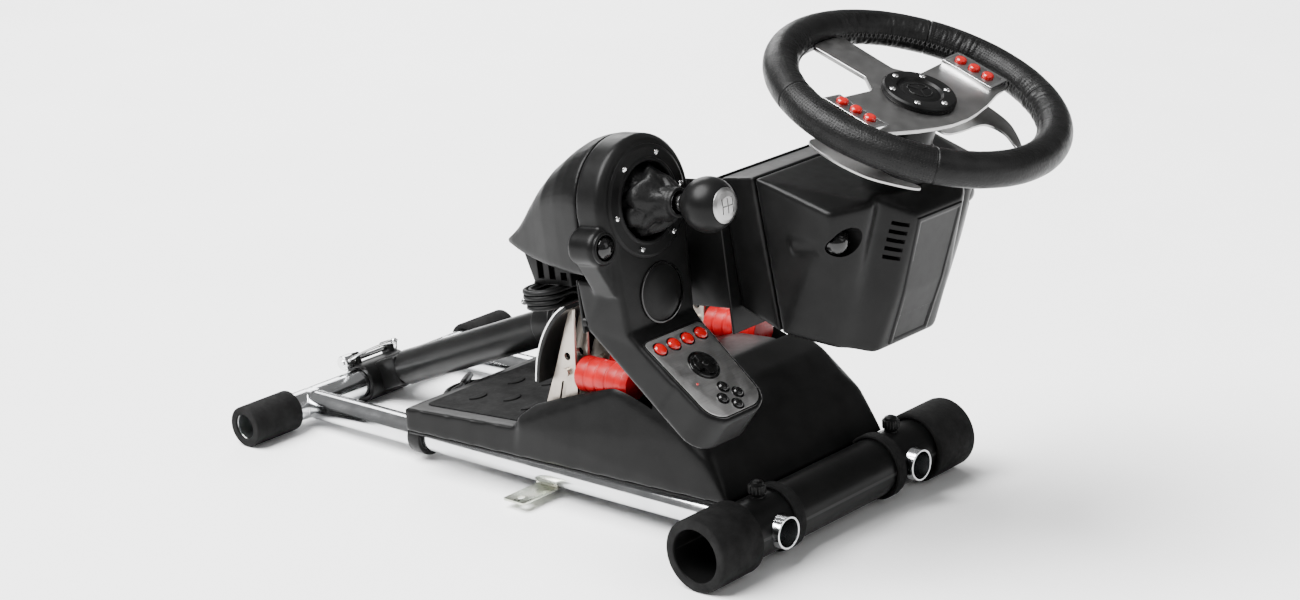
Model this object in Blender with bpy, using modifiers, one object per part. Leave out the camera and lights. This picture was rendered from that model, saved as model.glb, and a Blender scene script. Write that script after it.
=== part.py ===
"""A racing wheel on a folding stand: force-feedback wheel base, H-pattern shifter and pedals.

Metres, +Z up. +X runs along the stand's rails, away from the driver, and +Y to the driver's left.
The stand is folded flat, so the wheel lies over the pedals and faces up.
Every group of parts is built in its own frame, an empty that is turned about Y:
  ground - level, for what lies on the floor
  floor  - the rails and the pedals, with X along the rails
  column - the telescopic column, with X along its axis
  deck   - the wheel plate, with X pointing up from the plate and Z towards the driver
  wheel  - the steering axis, with X towards twelve o'clock and Z towards the driver
"""

import math

import bmesh
import bpy
from mathutils import Matrix, Vector

GAP = 0.0003  # clearance between pieces that touch

# The middle of the object's footprint, in the coordinates below, becomes the origin.
FOOTPRINT = Vector((0.4174, -0.03625, 0.0))

# Stand: X = 0 is the rear tube's axis and Y = 0 is halfway between the rails
RAIL_RADIUS = 0.0155
RAIL_BORE = 0.0135
RAIL_Y = 0.102
RAIL_END = 0.650
REAR_Z = 0.0215
REAR_HALF = 0.190
FRONT_X = 0.614
FRONT_Z = 0.0350
FRONT_RADIUS = 0.0285
FRONT_BORE = 0.0263
CAP_INNER_Y = 0.135
CAP_END_Y = 0.193
COLUMN_TILT = math.radians(22.6)
COLUMN_RADIUS = 0.019
COLUMN_BORE = 0.0165
COLUMN_END = 0.306
INNER_RADIUS = 0.0162
INNER_BORE = 0.0140
INNER_START = 0.110

# Wheel, wheel plate and shifter
WHEEL_CENTRE = Vector((0.724, 0.0, 0.434))
WHEEL_TILT = math.radians(20.0)
DECK_TILT = math.radians(-6.6)
RIM_RADIUS = 0.124
GRIP_RADIUS = 0.016
DECK_TOP = -0.1413
DECK_THICK = 0.003
KNOB_WELL = 0.0155
SPLIT = -0.100  # height of the seam between the base's lower shell and its cover
SHIFTER_Y = -0.190
GATE_Z = -0.056
FACE_X = -0.160  # the shifter's face
PANEL_TILT = math.radians(42.8)
PANEL_CENTRE = Vector((-0.116, SHIFTER_Y, -0.2075))

# Wheel drive
GEAR_TEETH = 48
PINION_TEETH = 12
GEAR_RADIUS = 0.045
PINION_RADIUS = 0.012
TOOTH_HEIGHT = 0.0022
MOTOR_Y = 0.0553
SHAFT_RADIUS = 0.009

# Pedals: each one's middle and the half-width of its face
PEDALS = {"throttle": (-0.096, 0.021), "brake": (-0.046, 0.022), "clutch": (0.094, 0.024)}
PEDAL_PIVOT = Vector((0.372, 0.0, 0.040))
TRAY_TOP = 0.030

SIDES = {"right": -1, "left": 1}  # the driver's right is -Y


# ---------------------------------------------------------------- scene, frames and materials


def clear_scene():
    for obj in list(bpy.data.objects):
        bpy.data.objects.remove(obj, do_unlink=True)


def new_collection(name):
    collection = bpy.data.collections.new(name)
    bpy.context.scene.collection.children.link(collection)
    return collection


def new_frame(name, location, tilt):
    """An empty turned about Y, which carries a group of parts."""
    empty = bpy.data.objects.new(name, None)
    empty.location = Vector(location) - FOOTPRINT
    empty.rotation_euler = (0.0, tilt, 0.0)
    PARTS.objects.link(empty)
    return empty


def new_material(name, colour, roughness, metallic=0.0):
    material = bpy.data.materials.new(name)
    material.use_nodes = True
    shader = material.node_tree.nodes["Principled BSDF"]
    shader.inputs["Base Color"].default_value = (*colour, 1.0)
    shader.inputs["Roughness"].default_value = roughness
    shader.inputs["Metallic"].default_value = metallic
    return material


def finish(shape, name, material, parent, pivot=(0.0, 0.0, 0.0)):
    """Names a shape, gives it its material and moves its origin onto its joint's axis."""
    shape.name = name
    shape.data.name = name
    shape.data.transform(Matrix.Translation(-Vector(pivot)))
    shape.data.materials.clear()
    shape.data.materials.append(material)
    shape.location = pivot
    shape.parent = parent
    return shape


# ---------------------------------------------------------------- shapes


def as_object(bm):
    bmesh.ops.recalc_face_normals(bm, faces=bm.faces)
    mesh = bpy.data.meshes.new("shape")
    bm.to_mesh(mesh)
    bm.free()
    obj = bpy.data.objects.new("shape", mesh)
    PARTS.objects.link(obj)
    return obj


def box(low, high):
    bm = bmesh.new()
    bmesh.ops.create_cube(bm, size=1.0)
    low, high = Vector(low), Vector(high)
    bmesh.ops.scale(bm, vec=high - low, verts=bm.verts)
    bmesh.ops.translate(bm, vec=(low + high) / 2, verts=bm.verts)
    return as_object(bm)


def rod(start, end, radius, end_radius=None, sides=24):
    """A cylinder or a cone between two points."""
    start, end = Vector(start), Vector(end)
    axis = end - start
    turn = Vector((0, 0, 1)).rotation_difference(axis).to_matrix().to_4x4()
    bm = bmesh.new()
    bmesh.ops.create_cone(
        bm,
        cap_ends=True,
        segments=sides,
        radius1=radius,
        radius2=radius if end_radius is None else end_radius,
        depth=axis.length,
        matrix=Matrix.Translation((start + end) / 2) @ turn,
    )
    return as_object(bm)


def ball(centre, radius, sides=20, rings=12):
    bm = bmesh.new()
    where = Matrix.Translation(centre)
    bmesh.ops.create_uvsphere(bm, u_segments=sides, v_segments=rings, radius=radius, matrix=where)
    return as_object(bm)


def hull(points):
    """The convex solid around some points."""
    bm = bmesh.new()
    for point in points:
        bm.verts.new(point)
    made = bmesh.ops.convex_hull(bm, input=bm.verts)
    spare = [item for item in made["geom_interior"] if isinstance(item, bmesh.types.BMVert)]
    bmesh.ops.delete(bm, geom=spare, context="VERTS")
    return as_object(bm)


def settled(obj):
    """The same object with its curve or its modifiers turned into plain mesh."""
    graph = bpy.context.evaluated_depsgraph_get()
    mesh = bpy.data.meshes.new_from_object(obj.evaluated_get(graph))
    bpy.data.objects.remove(obj, do_unlink=True)
    made = bpy.data.objects.new("shape", mesh)
    PARTS.objects.link(made)
    return made


def turned(profile, steps=24, along="Z"):
    """A closed profile of (radius, height) points, turned about Z and then laid along an axis."""
    mesh = bpy.data.meshes.new("profile")
    points = [(radius, 0.0, height) for radius, height in profile]
    edges = [(i, (i + 1) % len(points)) for i in range(len(points))]
    mesh.from_pydata(points, edges, [])
    obj = bpy.data.objects.new("profile", mesh)
    PARTS.objects.link(obj)
    screw = obj.modifiers.new("turn", "SCREW")
    screw.steps = steps
    screw.render_steps = steps
    screw.use_merge_vertices = True
    screw.merge_threshold = 0.00001
    obj = settled(obj)
    if along == "X":
        obj.data.transform(Matrix.Rotation(math.pi / 2, 4, "Y"))
    if along == "Y":
        obj.data.transform(Matrix.Rotation(-math.pi / 2, 4, "X"))
    bm = bmesh.new()
    bm.from_mesh(obj.data)
    bmesh.ops.recalc_face_normals(bm, faces=bm.faces)
    bm.to_mesh(obj.data)
    bm.free()
    return obj


def pipe(start, end, radius, bore, along="Y", steps=24):
    return turned([(bore, start), (bore, end), (radius, end), (radius, start)], steps, along)


def plate(outline, low, high, across="Z"):
    """A flat outline with thickness from low to high. Across Y, the outline is in X and Z."""
    curve = bpy.data.curves.new("outline", "CURVE")
    curve.dimensions = "2D"
    curve.fill_mode = "BOTH"
    curve.extrude = (high - low) / 2
    line = curve.splines.new("POLY")
    line.points.add(len(outline) - 1)
    for point, (x, y) in zip(line.points, outline):
        point.co = (x, y, 0.0, 1.0)
    line.use_cyclic_u = True
    obj = bpy.data.objects.new("outline", curve)
    PARTS.objects.link(obj)
    obj = settled(obj)
    bm = bmesh.new()
    bm.from_mesh(obj.data)
    bmesh.ops.remove_doubles(bm, verts=bm.verts, dist=0.000001)
    bmesh.ops.dissolve_limit(bm, angle_limit=0.001, verts=bm.verts, edges=bm.edges)
    bm.to_mesh(obj.data)
    bm.free()
    obj.data.transform(Matrix.Translation((0.0, 0.0, (low + high) / 2)))
    if across == "Y":
        # (x, y, z) becomes (x, -z, y), so the thickness is mirrored to keep low and high.
        obj.data.transform(Matrix.Translation((0.0, 0.0, -(low + high))))
        obj.data.transform(Matrix.Rotation(math.pi / 2, 4, "X"))
    return obj


def combined(first, others, operation):
    for other in others:
        step = first.modifiers.new("step", "BOOLEAN")
        step.operation = operation
        step.solver = "EXACT"
        step.object = other
        first = settled(first)
        bpy.data.objects.remove(other, do_unlink=True)
    return first


def join(first, *others):
    return combined(first, others, "UNION")


def cut(first, *others):
    return combined(first, others, "DIFFERENCE")


def both_sides(points):
    """Each point and its mirror image across the XZ plane."""
    return [(x, side * y, z) for x, y, z in points for side in (-1, 1)]


def about_middle(points, factor):
    """The points drawn in towards their middle."""
    middle = sum((Vector(p) for p in points), Vector()) / len(points)
    return [tuple(middle + (Vector(p) - middle) * factor) for p in points]


def deck_point(x, y, z):
    """A point of the wheel frame, in the deck frame."""
    turn = WHEEL_TILT - DECK_TILT
    cos, sin = math.cos(turn), math.sin(turn)
    return (x * cos + z * sin, y, z * cos - x * sin)


def gear_outline(teeth, radius, turn=0.0):
    """Pointed teeth, at the middle of which the pitch circle lies."""
    outline = []
    for i in range(2 * teeth):
        angle = turn + math.pi * i / teeth
        reach = radius if i % 2 == 0 else radius - TOOTH_HEIGHT
        outline.append((reach * math.cos(angle), reach * math.sin(angle)))
    return outline


# ---------------------------------------------------------------- stand


def make_rear_tube():
    tube = pipe(-REAR_HALF, REAR_HALF, RAIL_RADIUS, RAIL_BORE)
    finish(tube, "rear_tube", CHROME, FLOOR)
    for side, sign in SIDES.items():
        cap = turned(
            [
                (RAIL_RADIUS + GAP, 0.130),
                (RAIL_RADIUS + GAP, REAR_HALF + GAP),
                (RAIL_BORE, REAR_HALF + GAP),
                (RAIL_BORE, CAP_END_Y),
                (0.0200, CAP_END_Y),
                (REAR_Z, CAP_END_Y - 0.0015),
                (REAR_Z, 0.1315),
                (0.0200, 0.130),
            ],
            along="Y",
        )
        if sign < 0:
            cap.data.transform(Matrix.Rotation(math.pi, 4, "Z"))
        finish(cap, f"rear_cap_{side}", RUBBER, FLOOR)


def make_rails():
    for side, sign in SIDES.items():
        rail = pipe(0.0, RAIL_END, RAIL_RADIUS, RAIL_BORE, along="X")
        rail.data.transform(Matrix.Translation((0.0, sign * RAIL_Y, 0.0)))
        saddle = rod((0, sign * RAIL_Y - 0.03, 0), (0, sign * RAIL_Y + 0.03, 0), RAIL_RADIUS + GAP)
        rail = cut(rail, box((-0.02, -0.2, -0.03), (0.004, 0.2, 0.03)), saddle)
        finish(rail, f"rail_{side}", CHROME, FLOOR)


def make_front_tube():
    tube = pipe(-REAR_HALF, REAR_HALF, FRONT_RADIUS, FRONT_BORE, steps=32)
    holes = []
    for sign in SIDES.values():
        y = sign * RAIL_Y
        holes.append(rod((-0.04, y, 0.0), (0.04, y, 0.0), RAIL_RADIUS + GAP))
        holes.append(rod((0.0, y, 0.0), (0.0, y, 0.04), 0.0033, sides=12))
    tube = cut(tube, *holes)
    tube.data.transform(Matrix.Translation((FRONT_X, 0.0, 0.0)))
    finish(tube, "front_tube", BLACK_STEEL, FLOOR)
    for side, sign in SIDES.items():
        cap = turned(
            [
                (FRONT_RADIUS + GAP, CAP_INNER_Y),
                (FRONT_RADIUS + GAP, REAR_HALF + GAP),
                (FRONT_BORE, REAR_HALF + GAP),
                (FRONT_BORE, CAP_END_Y),
                (0.0330, CAP_END_Y),
                (FRONT_Z, CAP_END_Y - 0.002),
                (FRONT_Z, CAP_INNER_Y + 0.002),
                (0.0330, CAP_INNER_Y),
            ],
            steps=32,
            along="Y",
        )
        if sign < 0:
            cap.data.transform(Matrix.Rotation(math.pi, 4, "Z"))
        cap.data.transform(Matrix.Translation((FRONT_X, 0.0, 0.0)))
        finish(cap, f"front_cap_{side}", RUBBER, FLOOR)
        bolt = turned(
            [
                (0.0, 0.0160),
                (0.0030, 0.0160),
                (0.0030, 0.0295),
                (0.0065, 0.0295),
                (0.0085, 0.0320),
                (0.0085, 0.0400),
                (0.0060, 0.0430),
                (0.0, 0.0440),
            ],
            steps=16,
        )
        at = (FRONT_X, sign * RAIL_Y, 0.0)
        bolt.data.transform(Matrix.Translation(at))
        finish(bolt, f"lock_bolt_{side}", BLACK_PLASTIC, FLOOR, at)


def make_column():
    sleeve = pipe(-0.0295, 0.0295, 0.0215, RAIL_RADIUS + GAP)
    neck = box((0.0165, -0.016, -0.016), (0.0500, 0.016, 0.016))
    ear = box((-0.008, -0.030, 0.0190), (0.008, -0.022, 0.0330))
    foot = cut(join(sleeve, neck, ear), rod((0, -0.04, 0.026), (0, 0.0, 0.026), 0.0033, sides=12))
    finish(foot, "column_foot", BLACK_STEEL, COLUMN)

    make_cam_lever("foot_lever", (0.0, -0.0305, 0.026), (0.088, 0.0, 0.007), -1)

    outer = turned(
        [
            (COLUMN_BORE, 0.0505),
            (COLUMN_BORE, COLUMN_END),
            (0.0235, COLUMN_END),
            (0.0235, COLUMN_END - 0.026),
            (COLUMN_RADIUS, COLUMN_END - 0.028),
            (COLUMN_RADIUS, 0.0505),
        ],
        along="X",
    )
    ear = box((0.286, -0.006, 0.0215), (0.304, 0.002, 0.0480))
    hole = rod((0.295, -0.02, 0.042), (0.295, 0.02, 0.042), 0.0033, sides=12)
    finish(cut(join(outer, ear), hole), "column_outer", BLACK_STEEL, COLUMN)
    make_cam_lever("height_lever", (0.295, 0.0025, 0.042), (-0.048, 0.0, -0.012), 1)


def make_cam_lever(name, hub, reach, sign):
    """A quick-release lever: a cam on a pin that runs along Y, and a thin handle."""
    hub, reach = Vector(hub), Vector(reach)
    along = Vector((0.0, sign, 0.0))
    cam = rod(hub, hub + 0.014 * along, 0.008, sides=16)
    pin = rod(hub - 0.007 * along, hub + 0.004 * along, 0.0030, sides=12)
    low, high = hub + 0.003 * along, hub + 0.011 * along
    across = Vector((-reach.z, 0.0, reach.x)).normalized() * 0.0015
    ends = [hub + reach * 0.05, hub + reach]
    points = [end + side * across for end in ends for side in (-1, 1)]
    handle = hull([(p.x, y, p.z) for p in points for y in (low.y, high.y)])
    finish(join(cam, pin, handle), name, CHROME, COLUMN, hub)


def column_reach(height):
    """How far along the column its axis meets the deck frame's plane at this height."""
    up = Vector((math.cos(DECK_TILT), 0.0, -math.sin(DECK_TILT)))
    along = Vector((math.cos(COLUMN_TILT), 0.0, math.sin(COLUMN_TILT)))
    start = Vector((0.0, 0.0, REAR_Z)) - WHEEL_CENTRE
    return (height - start.dot(up)) / along.dot(up)


def in_deck(reach, height=0.0):
    """A point on the column's axis, in the deck frame."""
    along = Vector((math.cos(COLUMN_TILT), 0.0, math.sin(COLUMN_TILT)))
    point = Vector((0.0, 0.0, REAR_Z)) + reach * along - WHEEL_CENTRE
    return Matrix.Rotation(-DECK_TILT, 3, "Y") @ point


def make_wheel_post():
    """The column's inner tube and the plates welded on it, which hold the base and the shifter."""
    under = DECK_TOP - DECK_THICK
    shifter_top = -0.2115
    end = column_reach(under)
    pieces = [
        box((under, -0.119, -0.196), (DECK_TOP, 0.119, -0.052)),
        box((-0.186, 0.116, -0.172), (DECK_TOP, 0.119, -0.054)),
        box((-0.186, -0.119, -0.172), (DECK_TOP, -0.116, -0.054)),
        box((shifter_top - DECK_THICK, -0.119, -0.172), (-0.160, -0.116, -0.119)),
        box((shifter_top - DECK_THICK, -0.243, -0.200), (shifter_top, -0.116, -0.119)),
        rod(in_deck(end - 0.050), in_deck(end + 0.004), 0.0215),
        rod(in_deck(INNER_START), in_deck(end - 0.020), INNER_RADIUS),
    ]
    bore = rod(in_deck(INNER_START - 0.01), in_deck(end - 0.030), INNER_BORE)
    proud = box((DECK_TOP, -0.05, -0.20), (DECK_TOP + 0.03, 0.05, -0.10))
    finish(cut(join(*pieces), bore, proud), "wheel_post", BLACK_STEEL, DECK)


# ---------------------------------------------------------------- wheel base


def back(x, depth=-0.219):
    """Where the base's back, which is square to the steering axis, lies at this height."""
    turn = WHEEL_TILT - DECK_TILT
    return (depth - x * math.sin(turn)) / math.cos(turn)


def make_base():
    bottom = DECK_TOP + GAP
    shell_points = both_sides(
        [
            (bottom, 0.114, -0.053),
            (bottom, 0.105, back(bottom)),
            (SPLIT, 0.117, -0.0505),
            (SPLIT, 0.104, back(SPLIT)),
        ]
    )
    hollow = [(x if x < -0.12 else -0.09, y, z) for x, y, z in about_middle(shell_points, 0.92)]
    finish(cut(hull(shell_points), hull(hollow)), "base_shell", BLACK_PLASTIC, DECK)

    seam = SPLIT + GAP
    seam_points = both_sides([(seam, 0.117, -0.0505), (seam, 0.104, back(seam))])
    top_points = both_sides(
        [
            deck_point(0.013, 0.113, -0.083),
            deck_point(0.030, 0.082, -0.072),
            deck_point(0.045, 0.050, -0.077),
            deck_point(0.052, 0.036, -0.081),
            deck_point(0.060, 0.045, -0.165),
            deck_point(0.059, 0.046, -0.224),
            deck_point(0.040, 0.078, -0.219),
            deck_point(0.002, 0.101, -0.219),
            deck_point(0.028, 0.097, -0.150),
        ]
    )
    inside = about_middle(seam_points + top_points, 0.94)
    hollow = [(x if i >= len(seam_points) else SPLIT - 0.02, y, z) for i, (x, y, z) in enumerate(inside)]
    cover = join(hull(seam_points + top_points), steering_rod(-0.090, -0.046, 0.030))
    wells = [knob_rod(sign, -0.054, -0.034, 0.0185) for sign in SIDES.values()]
    cutters = [knob_rod(sign, -0.048, 0.040, KNOB_WELL) for sign in SIDES.values()]
    cover = join(cut(cover, hull(hollow)), *wells)
    cover = cut(cover, steering_rod(-0.120, -0.030, 0.012), *cutters)
    finish(cover, "base_cover", BLACK_PLASTIC, DECK)

    for side, sign in SIDES.items():
        foot, top = knob_point(sign, -0.0475), knob_point(sign, -0.0330)
        knob = join(rod(foot, top, 0.0115, sides=20), ball(top, 0.0113, 20, 10))
        finish(knob, f"base_knob_{side}", BLACK_PLASTIC, DECK, foot)


def knob_point(sign, height):
    """A point on the axis of a knob that tightens one of the base's table clamps."""
    return (height, sign * 0.094, -0.110)


def knob_rod(sign, low, high, radius):
    return rod(knob_point(sign, low), knob_point(sign, high), radius)


def steering_rod(start, end, radius):
    """A rod about the steering axis, given in the deck frame."""
    return rod(deck_point(0.0, 0.0, start), deck_point(0.0, 0.0, end), radius)


def make_drive():
    shaft = turned(
        [
            (0.0, -0.205),
            (SHAFT_RADIUS, -0.205),
            (SHAFT_RADIUS, -0.0435),
            (0.0240, -0.0435),
            (0.0240, -0.0080),
            (0.0150, -0.0045),
            (0.0, -0.0045),
        ]
    )
    gear = plate(gear_outline(GEAR_TEETH, GEAR_RADIUS), -0.150, -0.138)
    finish(join(shaft, gear), "steering_shaft", BLACK_STEEL, WHEEL)

    mount = box((-0.024, -0.080, -0.1555), (0.024, 0.080, -0.1525))
    cans = [rod((0, s * MOTOR_Y, -0.205), (0, s * MOTOR_Y, -0.1540), 0.018) for s in SIDES.values()]
    holes = [rod((0, 0, -0.16), (0, 0, -0.15), 0.014)]
    holes += [rod((0, s * MOTOR_Y, -0.156), (0, s * MOTOR_Y, -0.14), 0.0035) for s in SIDES.values()]
    finish(cut(join(mount, *cans), *holes), "motor_pair", CHROME, WHEEL)
    for side, sign in SIDES.items():
        # A gap between two teeth faces the gear, which has a tooth there.
        turn = math.pi / PINION_TEETH * (1 + PINION_TEETH / 2)
        pinion = plate(gear_outline(PINION_TEETH, PINION_RADIUS, turn), -0.150, -0.138)
        stub = rod((0, 0, -0.1545), (0, 0, -0.149), 0.0030, sides=12)
        pinion = join(pinion, stub)
        at = (0.0, sign * MOTOR_Y, 0.0)
        pinion.data.transform(Matrix.Translation(at))
        finish(pinion, f"motor_pinion_{side}", NYLON, WHEEL, at)


# ---------------------------------------------------------------- steering wheel

WHEEL_BUTTON_X = (-0.019, -0.0035, 0.012)
WHEEL_BUTTON_Y = 0.087
WHEEL_BUTTON_NAMES = ("lower", "middle", "upper")


def make_wheel():
    bpy.ops.mesh.primitive_torus_add(
        major_segments=48, minor_segments=12, major_radius=RIM_RADIUS, minor_radius=GRIP_RADIUS
    )
    rim = bpy.context.object
    for collection in list(rim.users_collection):
        collection.objects.unlink(rim)
    PARTS.objects.link(rim)
    finish(rim, "wheel_rim", LEATHER, WHEEL)

    half = [
        (-0.1076, 0.0000),
        (-0.1056, 0.0210),
        (-0.0450, 0.0195),
        (-0.0260, 0.0340),
        (-0.0310, 0.0800),
        (-0.0310, 0.1028),
        (-0.0120, 0.1068),
        (0.0000, 0.1076),
        (0.0120, 0.1068),
        (0.0260, 0.1042),
        (0.0310, 0.0800),
        (0.0430, 0.0450),
        (0.0480, 0.0150),
    ]
    outline = half + [(x, -y) for x, y in reversed(half[1:])]
    spokes = plate(outline, -0.004, 0.0)
    pods = []
    for sign in SIDES.values():
        corners = [(x, y, z) for x in (-0.032, 0.026) for y, z in ((0.075, 0.0035), (0.099, 0.006))]
        corners += [(x, y, -0.006) for x in (-0.032, 0.026) for y in (0.075, 0.099)]
        pods.append(hull([(x, sign * y, z) for x, y, z in corners]))
    pockets = [
        rod((x, sign * WHEEL_BUTTON_Y, 0.0005), (x, sign * WHEEL_BUTTON_Y, 0.02), 0.0060, sides=16)
        for x in WHEEL_BUTTON_X
        for sign in SIDES.values()
    ]
    finish(cut(join(spokes, *pods), *pockets), "spoke_plate", ALUMINIUM, WHEEL)

    for side, sign in SIDES.items():
        for name, x in zip(WHEEL_BUTTON_NAMES, WHEEL_BUTTON_X):
            at = (x, sign * WHEEL_BUTTON_Y, 0.0025)
            button = rod(at, (at[0], at[1], 0.0080), 0.0055, 0.0046, sides=16)
            finish(button, f"wheel_button_{side}_{name}", RED_PLASTIC, WHEEL, at)

    cover = turned(
        [
            (0.0, GAP),
            (0.0340, GAP),
            (0.0340, 0.0050),
            (0.0325, 0.0065),
            (0.0210, 0.0065),
            (0.0190, 0.0045),
            (0.0, 0.0045),
        ],
        steps=32,
    )
    finish(cover, "hub_cover", BLACK_PLASTIC, WHEEL)

    blade = [
        (-0.0060, 0.0280),
        (-0.0120, 0.0600),
        (-0.0260, 0.0880),
        (-0.0260, 0.1080),
        (0.0000, 0.1150),
        (0.0340, 0.1110),
        (0.0580, 0.0950),
        (0.0720, 0.0770),
        (0.0660, 0.0730),
        (0.0450, 0.0860),
        (0.0260, 0.0800),
        (0.0260, 0.0450),
        (0.0200, 0.0280),
    ]
    for side, sign in SIDES.items():
        outline = [(x, sign * y) for x, y in blade][::sign]
        paddle = plate(outline, -0.0362, -0.0337)
        finish(paddle, f"shift_paddle_{side}", ALUMINIUM, WHEEL, (0.0, sign * 0.030, -0.035))


# ---------------------------------------------------------------- shifter

LEVER_PIVOT = Vector((-0.191, SHIFTER_Y, GATE_Z))
KNOB_X = -0.089
LOBE_Z = -0.084
LOBE_Y = -0.059
RED_Y = (-0.027, -0.009, 0.009, 0.027)
DIAMOND = {"near": (0.0, -0.010), "top": (-0.010, 0.0), "far": (0.0, 0.010), "bottom": (0.010, 0.0)}


def at_shifter(x, y, z):
    return (x, SHIFTER_Y + y, z)


def make_shifter():
    side_view = [
        (FACE_X, -0.0600),
        (-0.2250, -0.0600),
        (-0.2250, -0.1130),
        (-0.2250, -0.1187),
        (-0.2112, -0.1187),
        (-0.2112, -0.1640),
        (-0.1860, -0.1920),
        (-0.1040, -0.2715),
        (-0.0840, -0.2545),
        (-0.0780, -0.2470),
        (-0.0820, -0.2390),
        (-0.1500, -0.1760),
        (FACE_X, -0.1650),
    ]
    apron = plate(side_view, SHIFTER_Y - 0.050, SHIFTER_Y + 0.050, across="Y")
    for vertex in apron.data.vertices:
        inwards = min(1.0, max(0.0, (-0.120 - vertex.co.z) / 0.080))
        vertex.co.y = SHIFTER_Y + (vertex.co.y - SHIFTER_Y) * (1.0 - 0.18 * inwards)
    head = rod(at_shifter(-0.233, 0, GATE_Z), at_shifter(FACE_X, 0, GATE_Z), 0.059, sides=36)
    lobe = rod(at_shifter(-0.205, LOBE_Y, LOBE_Z), at_shifter(-0.164, LOBE_Y, LOBE_Z), 0.0165)
    pocket = rod(at_shifter(-0.215, 0, GATE_Z), at_shifter(-0.150, 0, GATE_Z), 0.034)
    hole = rod(at_shifter(-0.1765, LOBE_Y, LOBE_Z), at_shifter(-0.15, LOBE_Y, LOBE_Z), 0.0115)
    body = cut(join(apron, head, lobe), pocket, hole)
    wells = [panel_rod(x, y, -0.006, 0.02, r) for x, y, r in panel_wells()]
    finish(cut(body, *wells), "shifter_body", BLACK_PLASTIC, DECK)

    seam = -0.2334
    ring = [math.radians(30 * i) for i in range(12)]
    rear_points = [at_shifter(seam, 0.058 * math.sin(t), GATE_Z + 0.058 * math.cos(t)) for t in ring]
    rear_points += [at_shifter(-0.262, 0.046 * math.sin(t), -0.064 + 0.046 * math.cos(t)) for t in ring]
    for x, half, z in [
        (seam, 0.050, -0.108),
        (-0.290, 0.026, -0.048),
        (-0.290, 0.038, -0.074),
        (-0.315, 0.016, -0.084),
        (-0.319, 0.020, -0.100),
        (-0.300, 0.032, -0.113),
        (seam, 0.046, -0.115),
    ]:
        rear_points += [at_shifter(x, side * half, z) for side in (-1, 1)]
    block = hull([at_shifter(x, y, z) for x, z in ((-0.300, -0.105), (-0.284, -0.142), (-0.240, -0.142),
                                                   (-0.240, -0.105)) for y in (-0.030, 0.030)])
    foot = rod(at_shifter(-0.245, 0, -0.131), at_shifter(-0.2148, 0, -0.131), 0.010)
    finish(join(hull(rear_points), block, foot), "shifter_rear_cover", BLACK_PLASTIC, DECK)

    boot = turned([(0.0290, 0.0), (0.0130, 0.056), (0.0057, 0.056), (0.0057, 0.0)], 20, "X")
    boot.data.transform(Matrix.Translation(at_shifter(-0.1800, 0, GATE_Z)))
    finish(boot, "shift_boot", LEATHER, DECK, LEVER_PIVOT)

    yoke = turned([(0.0150, -0.196), (0.0150, -0.186), (0.0190, -0.186), (0.0190, -0.196)], along="X")
    yoke.data.transform(Matrix.Translation(at_shifter(0, 0, GATE_Z)))
    pins = rod(LEVER_PIVOT + Vector((0, 0, -0.030)), LEVER_PIVOT + Vector((0, 0, 0.030)), 0.0028, sides=12)
    inside = rod(at_shifter(-0.198, 0, GATE_Z), at_shifter(-0.184, 0, GATE_Z), 0.0150)
    finish(cut(join(yoke, pins), inside), "shift_yoke", CHROME, DECK, LEVER_PIVOT)

    lever = rod(LEVER_PIVOT, at_shifter(-0.1010, 0, GATE_Z), 0.0050, sides=16)
    stub = rod(LEVER_PIVOT + Vector((-0.015, 0, 0)), LEVER_PIVOT, 0.0070, sides=16)
    pin = rod(LEVER_PIVOT + Vector((0, -0.0145, 0)), LEVER_PIVOT + Vector((0, 0.0145, 0)), 0.0030, sides=12)
    finish(join(lever, stub, pin), "shift_lever", CHROME, DECK, LEVER_PIVOT)

    knob = join(
        ball(at_shifter(KNOB_X, 0, GATE_Z), 0.0243, 24, 16),
        rod(at_shifter(-0.1155, 0, GATE_Z), at_shifter(KNOB_X, 0, GATE_Z), 0.0095),
    )
    bore = rod(at_shifter(-0.13, 0, GATE_Z), at_shifter(-0.0900, 0, GATE_Z), 0.0054, sides=16)
    crown = box(at_shifter(KNOB_X + 0.0215, -0.03, GATE_Z - 0.03), at_shifter(KNOB_X + 0.04, 0.03, GATE_Z + 0.03))
    finish(cut(knob, bore, crown), "shift_knob", BLACK_PLASTIC, DECK, at_shifter(KNOB_X, 0, GATE_Z))

    foot, top = at_shifter(-0.1760, LOBE_Y, LOBE_Z), at_shifter(-0.1650, LOBE_Y, LOBE_Z)
    clamp_knob = join(rod(foot, top, 0.0105, sides=16), ball(top, 0.0103, 16, 8))
    finish(clamp_knob, "shifter_clamp_knob", BLACK_PLASTIC, DECK, foot)


def panel_wells():
    """Each panel control's place and the radius of its well."""
    wells = [(-0.036, y, 0.0068) for y in RED_Y]
    wells.append((-0.006, 0.002, 0.0150))
    wells += [(0.0305 + x, 0.002 + y, 0.0055) for x, y in DIAMOND.values()]
    return wells


def panel_rod(x, y, low, high, radius, top_radius=None, sides=16):
    """A rod square to the button panel, given in the deck frame."""
    turn = Matrix.Translation(PANEL_CENTRE) @ Matrix.Rotation(PANEL_TILT, 4, "Y")
    return rod(turn @ Vector((x, y, low)), turn @ Vector((x, y, high)), radius, top_radius, sides)


def make_panel_buttons():
    turn = Matrix.Translation(PANEL_CENTRE) @ Matrix.Rotation(PANEL_TILT, 4, "Y")
    names = [f"panel_button_red_{i + 1}" for i in range(len(RED_Y))]
    names.append("direction_pad")
    names += [f"panel_button_{where}" for where in DIAMOND]
    tops = [0.0035] * 4 + [0.0045] + [0.0035] * 4
    for name, (x, y, radius), top in zip(names, panel_wells(), tops):
        material = RED_PLASTIC if "red" in name else BLACK_PLASTIC
        button = panel_rod(x, y, -0.0035, top, radius - 0.0006, radius - 0.0018)
        finish(button, name, material, DECK, turn @ Vector((x, y, 0.0)))


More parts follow.
